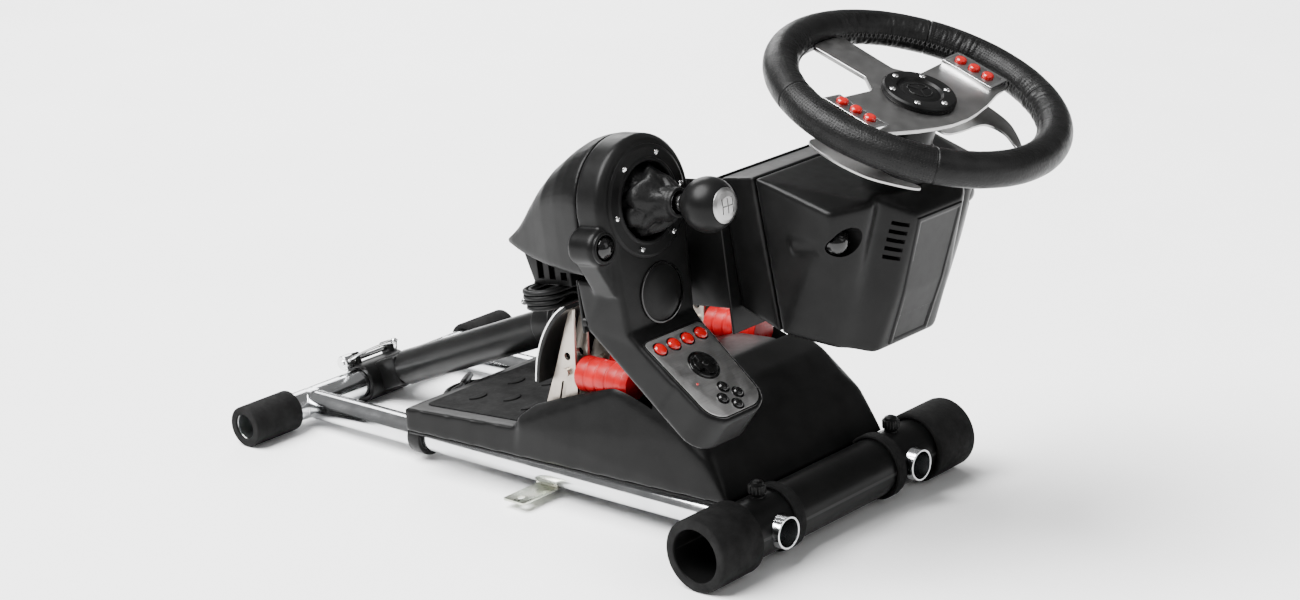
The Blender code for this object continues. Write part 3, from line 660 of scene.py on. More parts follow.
def make_hank():
    """The shifter's cable: nearly seven turns in four layers under the clamp block, a diameter apart."""
    diameter, gap = 0.0045, 0.0046
    centre_x, centre_y, half_run = -0.2660, -0.195, 0.029
    outer = 0.0182
    top = -0.1315 - diameter / 2 - 0.0001
    slots = [(0, 0), (1, 0), (1, 1), (0, 1), (0, 2), (1, 2), (1, 3), (0, 3)]  # (inwards, down)
    share = 0.09  # of a turn, for each change of slot

    def at(turn_count):
        inwards, down = slots[0]
        for index in range(1, 8):
            end = index * (1 - share)
            f = min(1.0, max(0.0, (turn_count - end + share) / share))
            f = f * f * (3 - 2 * f)
            inwards += f * (slots[index][0] - slots[index - 1][0])
            down += f * (slots[index][1] - slots[index - 1][1])
        radius = outer - inwards * gap
        run, bend = 2 * half_run, pi * radius
        along = (turn_count % 1.0) * (2 * run + 2 * bend)
        z = top - down * gap
        if along < run:
            return Vector((centre_x - radius, centre_y - half_run + along, z))
        along -= run
        if along < bend:
            a = along / radius
            return Vector((centre_x - radius * cos(a), centre_y + half_run + radius * sin(a), z))
        along -= bend
        if along < run:
            return Vector((centre_x + radius, centre_y + half_run - along, z))
        a = (along - run) / radius
        return Vector((centre_x + radius * cos(a), centre_y - half_run - radius * sin(a), z))

    # The outlet is on the far side, where the cable turns down into the first lane.
    turn = 0.0100
    lane = centre_x - outer
    start_y = centre_y - half_run
    exit_point = Vector((lane, start_y + 0.006, top + 2 * turn))
    points = [exit_point + Vector((0, -0.006 * k / 2, 0)) for k in range(2)]
    points += arc((lane, start_y, top + turn), (0, 0, 1), (0, -1, 0), turn, 12, 180.0)[:-1]
    last = 6.75
    steps = int(last * 40)
    points += [at(last * k / steps) for k in range(steps + 1)]
    for _ in range(2):
        points.append(points[-1] + Vector((0, -0.006, 0)))
    points = [Vector((p.x, 2 * centre_y - p.y, p.z)) for p in points]
    exit_point, end = points[0], points[-1]
    hank = cord_curve("shifter_cable_hank", points, diameter)
    plug = join(
        plate(
            rounded([(-0.0075, 0.0), (0.0075, 0.0), (0.0075, 0.026), (-0.0075, 0.026)], 0.002),
            -0.0045, 0.0045, 0.001,
        ),
        box((-0.006, 0.025, -0.003), (0.006, 0.031, 0.003)),
        rod((0, -0.007, 0), (0, 0.001, 0), 0.0030, 0.0042),
    )
    moved(plug, Matrix.Translation(end))
    plug = piece(plug, "shifter_cable_plug", DECK, "plastic", "carriage")
    strap = soften(
        cut(
            box(
                (centre_x - 0.0218, centre_y - 0.0035, top - 0.01835),
                (centre_x + 0.0218, centre_y + 0.0035, top + 0.00365),
            ),
            box(
                (centre_x - 0.0207, centre_y - 0.01, top - 0.01645),
                (centre_x + 0.0207, centre_y + 0.01, top + 0.00255),
            ),
        ),
        0.0004, 2,
    )
    piece(strap, "shifter_cable_tie", DECK, "cable", "carriage")
    piece(hank, "shifter_cable_hank", DECK, "cable", "carriage", "shifter_cable")
    # The block's outlet, from which the cable leaves.
    low, high = exit_point + Vector((-0.0050, -0.016, -0.0055)), exit_point + Vector((0.0150, 0.0002, 0.0055))
    piece(soften(box(low, high), 0.0012, 3), "shifter_cable_outlet", DECK, "plastic", "carriage")


def make_coil():
    """The pedals' cable: over the rail, down to the floor and into a coil of three layers."""
    diameter, gap, lift = 0.0055, 0.0057, 0.00575
    centre = Vector((0.118, 0.038, 0.0))
    low = 0.0003 + diameter / 2 + 0.0001
    over = 0.0442
    points = [Vector((0.1895, 0.100, over)), Vector((0.182, 0.100, over)), Vector((0.175, 0.100, over))]
    points += arc((0.1705, 0.0876, over), (0, 1, 0), (-1, 0, 0), 0.0124, 8)
    points += arc((0.1581, 0.079, over - 0.012), (0, 0, 1), (0, -1, 0), 0.012, 8)
    points += [Vector((0.1581, 0.067, z)) for z in (0.027, 0.021)]
    points += arc((0.1581, 0.055, low + 0.012), (0, 1, 0), (0, 0, -1), 0.012, 8)
    points.append(Vector((0.1581, 0.047, low)))

    def ring(angle, radius, z):
        return centre + Vector((radius * cos(angle), radius * sin(angle), z))

    angle, z = 0.0, low
    outer, inner = 0.0401, 0.0401 - 3 * gap
    steps = 32
    for layer in range(3):
        first, second = (outer, inner) if layer % 2 == 0 else (inner, outer)
        for k in range(3 * steps + 1):
            points.append(ring(angle - 2 * pi * k / steps, first + (second - first) * k / (3 * steps), z))
        angle -= 6 * pi
        share = 0.15 if second == inner else 0.12
        climb = lift if layer < 2 else lift + 0.0017
        for k in range(1, 6):
            f = k / 6
            points.append(ring(angle - 2 * pi * share * f, second, z + climb * f * f * (3 - 2 * f)))
        angle -= 2 * pi * share
        z += climb
    points.append(ring(angle, inner, z))
    ahead = Vector((sin(angle), -cos(angle), 0.0))
    points += [points[-1] + ahead * 0.005, points[-1] + ahead * 0.010]
    end = points[-1]
    cable = cord_curve("pedal_cable_coil", points, diameter)
    plug = turned(
        [
            (0.0, -0.006), (0.0032, -0.006), (0.0044, 0.0), (0.0044, 0.017), (0.0036, 0.018),
            (0.0036, 0.025), (0.0, 0.025),
        ],
        0.0004, 32,
    )
    moved(plug, Matrix.Translation(end) @ towards(ahead))
    plug = piece(plug, "pedal_cable_plug", GROUND, "plastic", "stand")
    relief = turned(
        [
            (0.0029, 0.0), (0.0062, 0.0), (0.0060, 0.003), (0.0045, 0.009), (0.0036, 0.018), (0.0029, 0.018),
        ], 0.0004, 32, "X"
    )
    moved(relief, shift(0.1905, 0.100, over) @ Matrix.Rotation(pi, 4, "Z"))
    relief = piece(relief, "pedal_cable_relief", GROUND, "plastic", "stand")
    first = GROUND @ points[0]
    piece(cable, "pedal_cable_coil", GROUND, "cable", "stand", "pedal_cable")


make_hank()
make_coil()

# ---------------------------------------------------------------- stand


def end_sleeve(bore, mouth, radius, start, round_by, steps):
    """A rubber sleeve on a crossbar's left end, closed in a little at its mouth."""
    inside, outside = 0.1903, 0.193
    bored = [(bore, start), (bore, inside), (mouth, inside), (mouth, outside)]
    return turned([*bored, (radius, outside), (radius, start)], round_by, steps, "Y")


def make_stand():
    rear = pipe(-0.190, 0.190, RAIL_R, 0.0135)
    piece(rear, "rear_crosstube", FLOOR, "chrome", "stand", "rear_tube")
    for side, sign in SIDES.items():
        cap = end_sleeve(0.0158, 0.0132, 0.0215, 0.130, 0.0022, 96)
        piece(facing(cap, sign), f"rear_sleeve_{side}", FLOOR, "rubber", "stand", f"rear_cap_{side}")
        rail = pipe(0.0135, 0.650, RAIL_R, 0.0135, "X", steps=96)
        moved(rail, shift(0, sign * RAIL_Y, 0))
        piece(rail, f"rail_tube_{side}", FLOOR, "chrome", "stand", f"rail_{side}")
        bead = turned(
            [
                (RAIL_R - 0.002, -0.0022), (RAIL_R - 0.002, 0.0022), (RAIL_R + 0.0009, 0.0008),
                (RAIL_R + 0.0009, -0.0008),
            ],
            0.0008, 72, "X",
        )
        for vertex in bead.data.vertices:
            # The bead follows the saddle where the rail meets the rear tube.
            vertex.co.x += sqrt(max(0.0, RAIL_R ** 2 - vertex.co.z ** 2))
        moved(bead, shift(0, sign * RAIL_Y, 0))
        piece(bead, f"rail_weld_{side}", FLOOR, "chrome", "stand")
    strap = turned([(0.0156, 0.169), (0.0156, 0.186), (0.0200, 0.186), (0.0200, 0.169)], 0.0010, 72, "X")
    buckle = box((0.171, -0.004, 0.0165), (0.184, 0.010, 0.0225))
    strap = join(strap, buckle)
    moved(strap, shift(0, -RAIL_Y, 0))
    piece(soften(strap, 0.0004, 2, 50), "rail_strap", FLOOR, "cable", "stand")
    tab = plate(
        [(0.332, -0.152), (0.360, -0.152), (0.360, -0.100), (0.332, -0.100)], -0.0212, -0.0188, 0.0004, 0.003,
    )
    tab = cut(tab, rod((0.346, -0.141, -0.03), (0.346, -0.141, 0.0), 0.0042))
    lip = box((0.332, -0.104, -0.0200), (0.360, -0.100, -0.0150))
    piece(join(tab, lip), "table_tab", FLOOR, "zinc", "stand")

    tube_piece = pipe(-0.190, 0.190, 0.0285, 0.0263, steps=128)
    for sign in SIDES.values():
        tube_piece = cut(
            tube_piece, rod((-0.04, sign * RAIL_Y, 0), (0.04, sign * RAIL_Y, 0), RAIL_R + 0.0003, sides=64),
        )
    at_front = shift(FRONT_X, 0, 0)
    piece(moved(tube_piece, at_front), "front_crosstube", FLOOR, "coat", "front_bar", "front_tube")
    for side, sign in SIDES.items():
        cap = end_sleeve(0.0288, 0.0255, 0.035, 0.135, 0.0035, 128)
        piece(
            moved(facing(cap, sign), at_front), f"front_sleeve_{side}", FLOOR, "rubber", "front_bar",
            f"front_cap_{side}",
        )
        ring = pipe(0.071, 0.0835, 0.0325, 0.0286, round_by=0.0016, steps=128)
        piece(moved(facing(ring, sign), at_front), f"front_ring_{side}", FLOOR, "rubber", "front_bar")
        knurl = [polar(0.0085 if i % 2 == 0 else 0.0078, 2 * pi * i / 36) for i in range(36)]
        head = plate(knurl, 0.0318, 0.0402, 0.0005)
        stem = turned(
            [
                (0, 0.016), (0.003, 0.016), (0.003, 0.0295), (0.0062, 0.0295), (0.0070, 0.0325),
                (0.0070, 0.0395), (0.0060, 0.0425), (0.0030, 0.0440), (0, 0.0440),
            ],
            0.0006, 48,
        )
        at_rail = shift(FRONT_X, sign * RAIL_Y, 0)
        bolt = moved(join(head, stem), at_rail)
        piece(bolt, f"thumb_bolt_{side}", FLOOR, "plastic", f"lock_bolt_{side}", f"lock_bolt_{side}")
        nut = turned([(0.0034, 0.0275), (0.0034, 0.0292), (0.0070, 0.0292), (0.0070, 0.0275)], 0.0003, 48)
        piece(moved(nut, at_rail), f"bolt_washer_{side}", FLOOR, "coat", "front_bar")


def cam_lever(name, hub, reach, sign, body, node):
    hub, reach = Vector(hub), Vector(reach)
    along = Vector((0, sign, 0))
    side = Vector((-reach.z, 0, reach.x)).normalized()
    cam = rod(hub + 0.0005 * along, hub + 0.0135 * along, 0.0080)
    cam = soften(cam, 0.0008, 3)
    pin = rod(hub - 0.007 * along, hub + 0.004 * along, 0.0030, sides=32)
    end = rod(hub + 0.0134 * along, hub + 0.0150 * along, 0.0040, sides=32)
    line, sizes = [], []
    for k in range(25):
        t = k / 24
        bow = sin(pi * t) * 0.0022
        line.append(hub + reach * (0.04 + 0.95 * t) + side * bow + along * (0.007 + 0.0012 * sin(3 * t)))
        sizes.append(0.0030 + 0.0006 * cos(6 * t) + (0.0008 if t > 0.88 else 0.0))
    handle = tube(line, sizes, 20)
    for vertex in handle.data.vertices:
        # A flat blade: wide along the pin, thin across.
        nearest = min(line, key=lambda p: (p - vertex.co).length_squared)
        offset = vertex.co - nearest
        across = offset.dot(side)
        vertex.co = vertex.co - side * across * 0.45 + along * offset.dot(along) * 0.25
    tip = ball(hub + reach * 0.985 + along * 0.007, 0.0036, 24, 16)
    piece(join(cam, pin, end, handle, tip), name, COLUMN, "bright", body, node)


def make_column():
    sleeve = pipe(-0.0295, 0.0295, 0.0215, 0.0158, steps=96, round_by=0.001)
    neck = soften(box((0.0165, -0.016, -0.016), (0.0500, 0.016, 0.016)), 0.003, 4)
    neck = cut(neck, rod((0, -0.04, 0), (0, 0.04, 0), 0.0160, sides=96))
    ears = [
        soften(
            box((-0.008, y - 0.0035, 0.0170), (0.008, y + 0.0035, 0.0330)), 0.002, 3,
        ) for y in (-0.026, 0.022)
    ]
    foot = join(sleeve, neck, *ears)
    foot = cut(foot, rod((0, -0.04, 0.026), (0, 0.04, 0.026), 0.0033, sides=32))
    piece(foot, "column_sleeve", COLUMN, "coat", "column", "column_foot")
    cam_lever("foot_cam_lever", (0.0, -0.0305, 0.026), (0.088, 0.0, 0.007), -1, "foot_lever", "foot_lever")
    cam_lever(
        "height_cam_lever", (0.295, 0.0025, 0.042), (-0.048, 0.0, -0.012), 1, "height_lever", "height_lever",
    )
    rod_bolt = rod((0, -0.022, 0.026), (0, 0.030, 0.026), 0.0028, sides=32)
    nut = plate([polar(0.0075, radians(60 * i)) for i in range(6)], 0.0, 0.006, 0.0006)
    moved(nut, shift(0, 0.0255, 0.026) @ Matrix.Rotation(-pi / 2, 4, "X"))
    piece(together(rod_bolt, nut), "foot_clamp_nut", COLUMN, "bright", "column")

    outer = turned(
        [
            (0.0165, 0.0505), (0.0165, 0.306), (0.0235, 0.306), (0.0235, 0.280), (0.019, 0.278),
            (0.019, 0.0505),
        ],
        0.0012, 96, "X",
    )
    ear = soften(box((0.286, -0.006, 0.0200), (0.304, 0.002, 0.0480)), 0.002, 3)
    clamp_slit = box((0.281, -0.0012, 0.0150), (0.310, 0.0010, 0.0285))
    outer = join(outer, ear)
    outer = cut(outer, clamp_slit, rod((0.295, -0.02, 0.042), (0.295, 0.02, 0.042), 0.0033, sides=32))
    piece(outer, "column_tube", COLUMN, "coat", "column", "column_outer")


def column_point(reach):
    """A point on the column's axis, in the deck frame."""
    along = Vector((cos(COLUMN_TILT), 0, sin(COLUMN_TILT)))
    point = Vector((0, 0, REAR_Z)) + reach * along - Vector(WHEEL_CENTRE)
    return Matrix.Rotation(-DECK_TILT, 3, "Y") @ point


def make_wheel_post():
    under = DECK_TOP - 0.003
    up = Vector((cos(DECK_TILT), 0, -sin(DECK_TILT)))
    along = Vector((cos(COLUMN_TILT), 0, sin(COLUMN_TILT)))
    start = Vector((0, 0, REAR_Z)) - Vector(WHEEL_CENTRE)
    end = (under - start.dot(up)) / along.dot(up)
    shifter_top = -0.2115
    low = shifter_top - 0.003
    plates = [
        soften(box(a, b), 0.0012, 3)
        for a, b in (
            ((under, -0.119, -0.196), (DECK_TOP, 0.119, -0.052)),
            ((-0.186, 0.116, -0.172), (DECK_TOP, 0.119, -0.054)),
            ((-0.186, -0.119, -0.172), (DECK_TOP, -0.116, -0.054)),
            ((low, -0.119, -0.172), (-0.160, -0.116, -0.119)),
            ((low, -0.236, -0.168), (shifter_top, -0.116, -0.119)),
        )
    ]
    socket = rod(column_point(end - 0.050), column_point(end + 0.004), 0.0215, sides=72)
    body = join(plates[0], *plates[1:], socket)
    body = cut(body, box((DECK_TOP + 0.0001, -0.05, -0.20), (DECK_TOP + 0.03, 0.05, -0.10)))
    bolts = [
        rod(
            (shifter_top - 0.0005, y, -0.158), (shifter_top + 0.0035, y, -0.158), 0.0050, 0.0042, 32,
        ) for y in (-0.232, -0.136)
    ]
    piece(together(*bolts), "plate_bolts", DECK, "coat", "carriage")
    piece(body, "wheel_plate", DECK, "coat", "carriage", "wheel_post")
    inner = pipe(0.110, end - 0.046, 0.0162, 0.0140, "X", steps=96)
    piece(inner, "column_inner_tube", COLUMN, "chrome", "carriage")


make_stand()
make_column()
make_wheel_post()

# ---------------------------------------------------------------- wheel base


KNOB_Y, KNOB_Z = 0.094, -0.110  # the base's clamp knobs, in the deck frame


def make_base():
    def back(x):
        """Where the base's lower face, square to the steering axis, meets this height."""
        turn = WHEEL_TILT - DECK_TILT
        return (-0.219 - x * sin(turn)) / cos(turn)

    bottom, split = DECK_TOP + 0.0003, -0.100
    shell = hull(
        both_sides(
            [
                (bottom, 0.114, -0.053), (bottom, 0.105, back(bottom)), (split, 0.117, -0.0505),
                (split, 0.104, back(split)),
            ]
        )
    )
    shell = moulded(shell, 0.0015, 16)
    piece(shell, "base_lower_shell", DECK, "plastic", "carriage", "base_shell")

    seam = split + 0.0008
    foot = both_sides([(seam, 0.117, -0.0505), (seam, 0.104, back(seam))])
    crown = both_sides(
        [
            in_wheel(*p)
            for p in (
                (0.013, 0.113, -0.083), (0.030, 0.082, -0.072), (0.045, 0.050, -0.077),
                (0.052, 0.036, -0.081), (0.060, 0.045, -0.165), (0.059, 0.046, -0.224),
                (0.040, 0.078, -0.219), (0.002, 0.101, -0.219), (0.028, 0.097, -0.150),
            )
        ]
    )
    cover = pebble(crown, 0.0060, foot)
    bumps = []
    for sign in SIDES.values():
        bump = turned([(0.0, -0.070), (0.0, -0.0390), (0.0180, -0.0390), (0.0215, -0.070)], 0.0016, 72, "X")
        bumps.append(moved(bump, shift(0, sign * 0.0925, -0.110)))
    cover = moulded(join(cover, *bumps), 0.0014, 8)
    back_to_wheel = WHEEL_IN_DECK.inverted()
    for vertex in cover.data.vertices:
        # A hollow runs down each side of the spine, deepest at the top edge.
        at = back_to_wheel @ vertex.co
        valley = exp(-(((abs(at.y) - 0.0610) / 0.0130) ** 2))
        depth = 0.0110 * min(1.0, max(0.0, (at.x - 0.004) / 0.040)) * (
            0.25 + 0.75 * min(1.0, max(0.0, (at.z + 0.190) / 0.085))
        )
        at.x -= valley * depth
        vertex.co = WHEEL_IN_DECK @ at
    cover = smoothed(cover, 24)
    boss = turned(
        [(0.012, -0.100), (0.012, -0.046), (0.0285, -0.046), (0.031, -0.060), (0.034, -0.100)], 0.003, 96,
    )
    moved(boss, WHEEL_IN_DECK)
    cover = join(cover, boss)
    cutters, slots = [], []
    for sign in SIDES.values():
        cutters.append(moved(pipe(-0.048, 0.040, 0.0132, 0.0, "X", 0.0015), shift(0, sign * KNOB_Y, KNOB_Z)))
        for i in range(5):
            c = -0.0925 - 0.0082 * i
            near, far = sorted(sign * (0.0395 + 0.0006 * i + wide) for wide in (0, 0.0125))
            slots.append(moved(box((0.0400, near, c - 0.0019), (0.075, far, c + 0.0019)), WHEEL_IN_DECK))
    cover = cut(cover, *cutters, together(*slots))
    surface_under = BVHTree.FromPolygons(
        [back_to_wheel @ v.co for v in cover.data.vertices], [tuple(p.vertices) for p in cover.data.polygons]
    )
    piece(cover, "base_upper_cover", DECK, "plastic", "carriage", "base_cover", crease=40)

    # The framed panel that runs down the cover's back.
    rows, columns = 110, 60
    bm = bmesh.new()
    grid = []
    for i in range(rows + 1):
        t = i / rows
        c = -0.0855 - 0.1320 * t
        half = 0.0335 - 0.0045 * t
        row = []
        for j in range(columns + 1):
            y = half * (2 * j / columns - 1)
            inset = min(half - abs(y), -0.0855 - c, c + 0.2175)
            lift = 0.0014 * min(1.0, inset / 0.0012)
            lift -= 0.0009 * min(1.0, max(0.0, (inset - 0.0042) / 0.0010))
            recess = min(half - 0.006 - abs(y), -0.188 - c, c + 0.212)
            lift -= 0.0014 * min(1.0, max(0.0, recess / 0.0010))
            surface = surface_under.ray_cast(Vector((0.1, y, c)), Vector((-1, 0, 0)))[0].x
            row.append(bm.verts.new((surface - 0.0002 + lift, y, c)))
        grid.append(row)
    for i in range(rows):
        for j in range(columns):
            bm.faces.new((grid[i][j], grid[i + 1][j], grid[i + 1][j + 1], grid[i][j + 1]))
    panel = as_object(bm)
    inwards = -1.0 if panel.data.polygons[0].normal.x > 0 else 1.0
    piece(thickened(panel, 0.0016, inwards), "base_back_panel", WHEEL, "plastic", "carriage")

    for side, sign in SIDES.items():
        knob = turned(
            [(0, -0.0475), (0.0108, -0.0475), (0.0115, -0.0450), (0.0115, -0.0330)]
            + dome(0.0115, -0.0330, 0.0113, 10)
            + [(0, -0.0217)],
            0.0004, 72, "X",
        )
        knob = fluted(knob, 0.0168, 0.0072, 30, -0.042, -0.015, 48)
        knob = moved(knob, shift(0, sign * KNOB_Y, KNOB_Z))
        piece(knob, f"base_clamp_knob_{side}", DECK, "gloss", f"base_knob_{side}", f"base_knob_{side}")


make_base()

# ---------------------------------------------------------------- steering wheel


RIM_SEAMS = (61, 124, 314, 247)  # degrees from twelve o'clock
HOLE_PITCH_MM = 2.6  # of the rim leather's perforations


def near_seam(angle):
    return min(abs((angle - seam + 180) % 360 - 180) for seam in RIM_SEAMS)


def make_rim():
    radius, grip = 0.124, 0.0160
    angles = [0.5 * i for i in range(720)]
    for seam in RIM_SEAMS:
        angles += [seam + d for d in (-0.75, -0.35, -0.2, -0.1, 0.1, 0.2, 0.35, 0.75)]
    angles = sorted(set(round(a, 3) for a in angles))
    around = 56
    bm = bmesh.new()
    uv = bm.loops.layers.uv.new("UVMap")
    mask = bm.verts.layers.float.new("perforated")
    rings, texture_rings = [], []
    for angle in angles:
        a = radians(angle)
        signed = (angle + 180) % 360 - 180
        arc_mm = a * radius * 1000
        beyond = near_seam(angle)
        groove = 0.0009 * exp(-((beyond / 0.28) ** 2))
        perforated = 61 < signed < 124 or -113 < signed < -46
        # How gathered the leather is here: most beside the spokes, least across the top.
        gather = 0.0
        for centre, width, size in (
            (180, 9, -1.0), (90, 7, -0.9), (-90, 7, -0.9), (148, 26, 1.0), (-148, 26, 1.0), (107, 12, 0.8),
            (-107, 12, 0.8), (58, 22, 1.0), (-58, 22, 1.0),
        ):
            away = abs((angle - centre + 180) % 360 - 180)
            gather += size * exp(-((away / width) ** 2))
        gather = max(0.0, min(1.0, gather))
        ring, texture = [], []
        for k in range(around):
            b = 2 * pi * k / around
            inner = max(0.0, -cos(b - radians(-12)))
            side = min(1.0, inner * 1.5) ** 1.5
            fold = noise.noise(Vector((arc_mm / 5.2, b * 0.9, 3.0)))
            fine = noise.noise(Vector((arc_mm / 2.2, b * 1.6, 9.0)))
            wave = (abs(fold) ** 0.7 * 1.5 - 0.55) + 0.35 * fine
            wrinkle = 0.00105 * gather * side * wave
            ripple = 0.00016 * noise.noise(Vector((arc_mm / 14, b * 2.0, 5.0)))
            thumb = 0.0012 * inner ** 2 * exp(-(((abs(signed) - 66) / 9) ** 2))
            seam_line = 0.0007 * exp(-(((b - pi) / 0.07) ** 2))
            r = grip - groove + wrinkle + ripple + thumb - seam_line - 0.0002
            reach = radius + r * cos(b)
            vert = bm.verts.new((reach * cos(a), reach * sin(a), r * sin(b)))
            vert[mask] = 1.0 if perforated and beyond > 0.6 else 0.0
            ring.append(vert)
            texture.append((arc_mm / HOLE_PITCH_MM, b * grip * 1000 / HOLE_PITCH_MM))
        rings.append(ring)
        texture_rings.append(texture)
    count = len(angles)
    full = 2 * pi * radius * 1000 / HOLE_PITCH_MM
    wrap = 2 * pi * grip * 1000 / HOLE_PITCH_MM
    for i in range(count):
        j = (i + 1) % count
        for k in range(around):
            m = (k + 1) % around
            face = bm.faces.new((rings[i][k], rings[j][k], rings[j][m], rings[i][m]))
            for loop, (row, column) in zip(face.loops, ((i, k), (j, k), (j, m), (i, m))):
                u, v = texture_rings[row][column]
                if j == 0 and row == j:
                    u += full
                if m == 0 and column == m:
                    v += wrap
                loop[uv].uv = (u, v)
    piece(as_object(bm), "rim_cover", WHEEL, "rim", "wheel", "wheel_rim", crease=60)

    bm = bmesh.new()
    stitches = 152
    for i in range(stitches):
        angle = 360 * i / stitches
        signed = (angle + 180) % 360 - 180
        if abs(abs(signed) - 90) < 9 or abs(signed) > 169:
            continue
        a = radians(angle)
        inner = radius - grip + 0.0002
        centre = Vector((inner * cos(a), inner * sin(a), 0))
        along = Vector((-sin(a), cos(a), 0))
        for slope in (1, -1):
            direction = (along * 0.0016 * slope + Vector((0, 0, 0.0028))).normalized()
            place = Matrix.Translation(centre - Vector((cos(a), sin(a), 0)) * 0.0001) @ towards(direction)
            stitch = place @ Matrix.Diagonal((0.00048, 0.00048, 0.0030, 1.0))
            bmesh.ops.create_uvsphere(bm, u_segments=8, v_segments=6, radius=1.0, matrix=stitch)
    piece(as_object(bm), "rim_stitching", WHEEL, "thread", "wheel", crease=80)


BUTTON_Y = 0.087
BUTTON_X = {"lower": -0.019, "middle": -0.0035, "upper": 0.012}


def make_spokes():
    half = [
        (-0.1085, 0.0000), (-0.1066, 0.0210), (-0.0450, 0.0195), (-0.0260, 0.0340), (-0.0310, 0.0800),
        (-0.0310, 0.1028), (-0.0120, 0.1068), (0.0000, 0.1076), (0.0120, 0.1068), (0.0260, 0.1042),
        (0.0310, 0.0800), (0.0400, 0.0520), (0.0455, 0.0290), (0.0480, 0.0110),
    ]
    outline = half + [(x, -y) for x, y in reversed(half[1:])]
    spokes = plate(outline, -0.0040, 0.0, 0.0008, 0.0060, segments=3)
    piece(spokes, "wheel_spokes", WHEEL, "brushed_across", "wheel", "spoke_plate")
    for side, sign in SIDES.items():
        corners = []
        for x in (-0.0315, 0.0255):
            corners += [
                (x, sign * 0.0752, 0.0034), (x, sign * 0.0990, 0.0058), (x, sign * 0.0752, -0.0058),
                (x, sign * 0.0990, -0.0058),
            ]
        pod = soften(hull(corners), 0.0011, 4)
        on_pod = shift(0, sign * 0.0871, 0.0046) @ Matrix.Rotation(sign * atan2(0.0024, 0.0238), 4, "X")
        inlay = moved(box((-0.0285, -0.0090, -0.0006), (0.0225, 0.0090, 0.010)), on_pod)
        pod = cut(pod, inlay)

        def holes(low):
            return [
                rod((x, sign * BUTTON_Y, low), (x, sign * BUTTON_Y, 0.02), 0.0060) for x in BUTTON_X.values()
            ]

        piece(cut(pod, *holes(0.0005)), f"button_pod_{side}", WHEEL, "bright", "wheel")
        face = plate(
            [(-0.0282, -0.0088), (0.0222, -0.0088), (0.0222, 0.0088), (-0.0282, 0.0088)], -0.0008, -0.0001,
            0.0001, 0.0010,
        )
        moved(face, on_pod)
        piece(cut(face, *holes(-0.01)), f"pod_face_{side}", WHEEL, "brushed_across", "wheel")
        for name, x in BUTTON_X.items():
            button = turned(
                [(0, 0.0025), (0.0054, 0.0025), (0.0054, 0.0062)]
                + dome(0.0054, 0.0062, 0.0024, power=0.7)
                + [(0, 0.0086)],
                0.0003, 48,
            )
            moved(button, shift(x, sign * BUTTON_Y, 0))
            node = f"wheel_button_{side}_{name}"
            piece(button, f"wheel_cap_{side}_{name}", WHEEL, "red", node, node)


def make_hub():
    cover = turned(
        [
            (0, 0.0003), (0.0340, 0.0003), (0.0340, 0.0046), (0.0322, 0.0064), (0.0215, 0.0064),
            (0.0198, 0.0040), (0.0186, 0.0040), (0.0150, 0.0052), (0.0075, 0.0060), (0, 0.0062),
        ],
        0.0009, 128,
    )
    sinks = []
    bolts = []
    for i in range(6):
        a = radians(60 * i + 3)
        at = Vector((*polar(0.0270, a), 0))
        sinks.append(rod(at + Vector((0, 0, 0.0050)), at + Vector((0, 0, 0.01)), 0.0035, sides=40))
        head = turned(
            [(0, 0.0045), (0.0030, 0.0045), (0.0030, 0.0066), (0.0024, 0.0072), (0, 0.0072)], 0.0003, 40,
        )
        socket = plate([polar(0.0015, radians(60 * k)) for k in range(6)], 0.0056, 0.0090, 0.0)
        bolts.append(moved(cut(head, socket), Matrix.Translation(at)))
    cover = cut(cover, together(*sinks))
    piece(cover, "hub_disc", WHEEL, "plastic", "wheel", "hub_cover")
    piece(together(*bolts), "hub_bolts", WHEEL, "bright", "wheel")
    # A plain emblem: three bars inside a ring.
    ring = turned([(0.0105, 0.0050), (0.0105, 0.0062), (0.0118, 0.0062), (0.0118, 0.0050)], 0.0003, 72)
    bar = [(0.0020, -0.0009), (0.0112, -0.0009), (0.0112, 0.0009), (0.0020, 0.0009)]
    bars = [
        moved(plate(bar, 0.0050, 0.0066, 0.0002), Matrix.Rotation(radians(turn), 4, "Z"))
        for turn in (90, 210, 330)
    ]
    piece(together(ring, *bars), "hub_emblem", WHEEL, "gloss", "wheel")

    shaft = turned(
        [
            (0, -0.205), (0.009, -0.205), (0.009, -0.0435), (0.0215, -0.0435), (0.0240, -0.0400),
            (0.0245, -0.0150), (0.0225, -0.0080), (0.0150, -0.0045), (0, -0.0045),
        ],
        0.0018, 96,
    )
    teeth = [polar(0.045 if i % 2 == 0 else 0.0428, pi * i / 48) for i in range(96)]
    gear = plate(teeth, -0.150, -0.138, 0.0004)
    piece(join(shaft, gear), "steering_boss", WHEEL, "plastic", "wheel", "steering_shaft")

    blade = [
        (-0.0060, 0.0280), (-0.0120, 0.0600), (-0.0260, 0.0880), (-0.0268, 0.1080), (0.0000, 0.1125),
        (0.0340, 0.1070), (0.0570, 0.0925), (0.0724, 0.0775), (0.0680, 0.0735), (0.0470, 0.0840),
        (0.0280, 0.0790), (0.0255, 0.0450), (0.0200, 0.0280),
    ]
    for side, sign in SIDES.items():
        outline = curve_through([(x, sign * y, 0) for x, y in blade + blade[:1]], 6)[:-1]
        outline = [(p.x, p.y) for p in outline]
        paddle = plate(outline, -0.0362, -0.0337, 0.0007, segments=3)
        piece(
            paddle, f"paddle_{side}", WHEEL, "brushed_lengthwise", f"shift_paddle_{side}",
            f"shift_paddle_{side}",
        )


make_rim()
make_spokes()
make_hub()

# ---------------------------------------------------------------- shifter


LOBE = (-0.059, -0.028)  # the clamp knob's collar, from the gate's centre, across and towards the driver
FACE = -0.160
SEAM = -0.1905


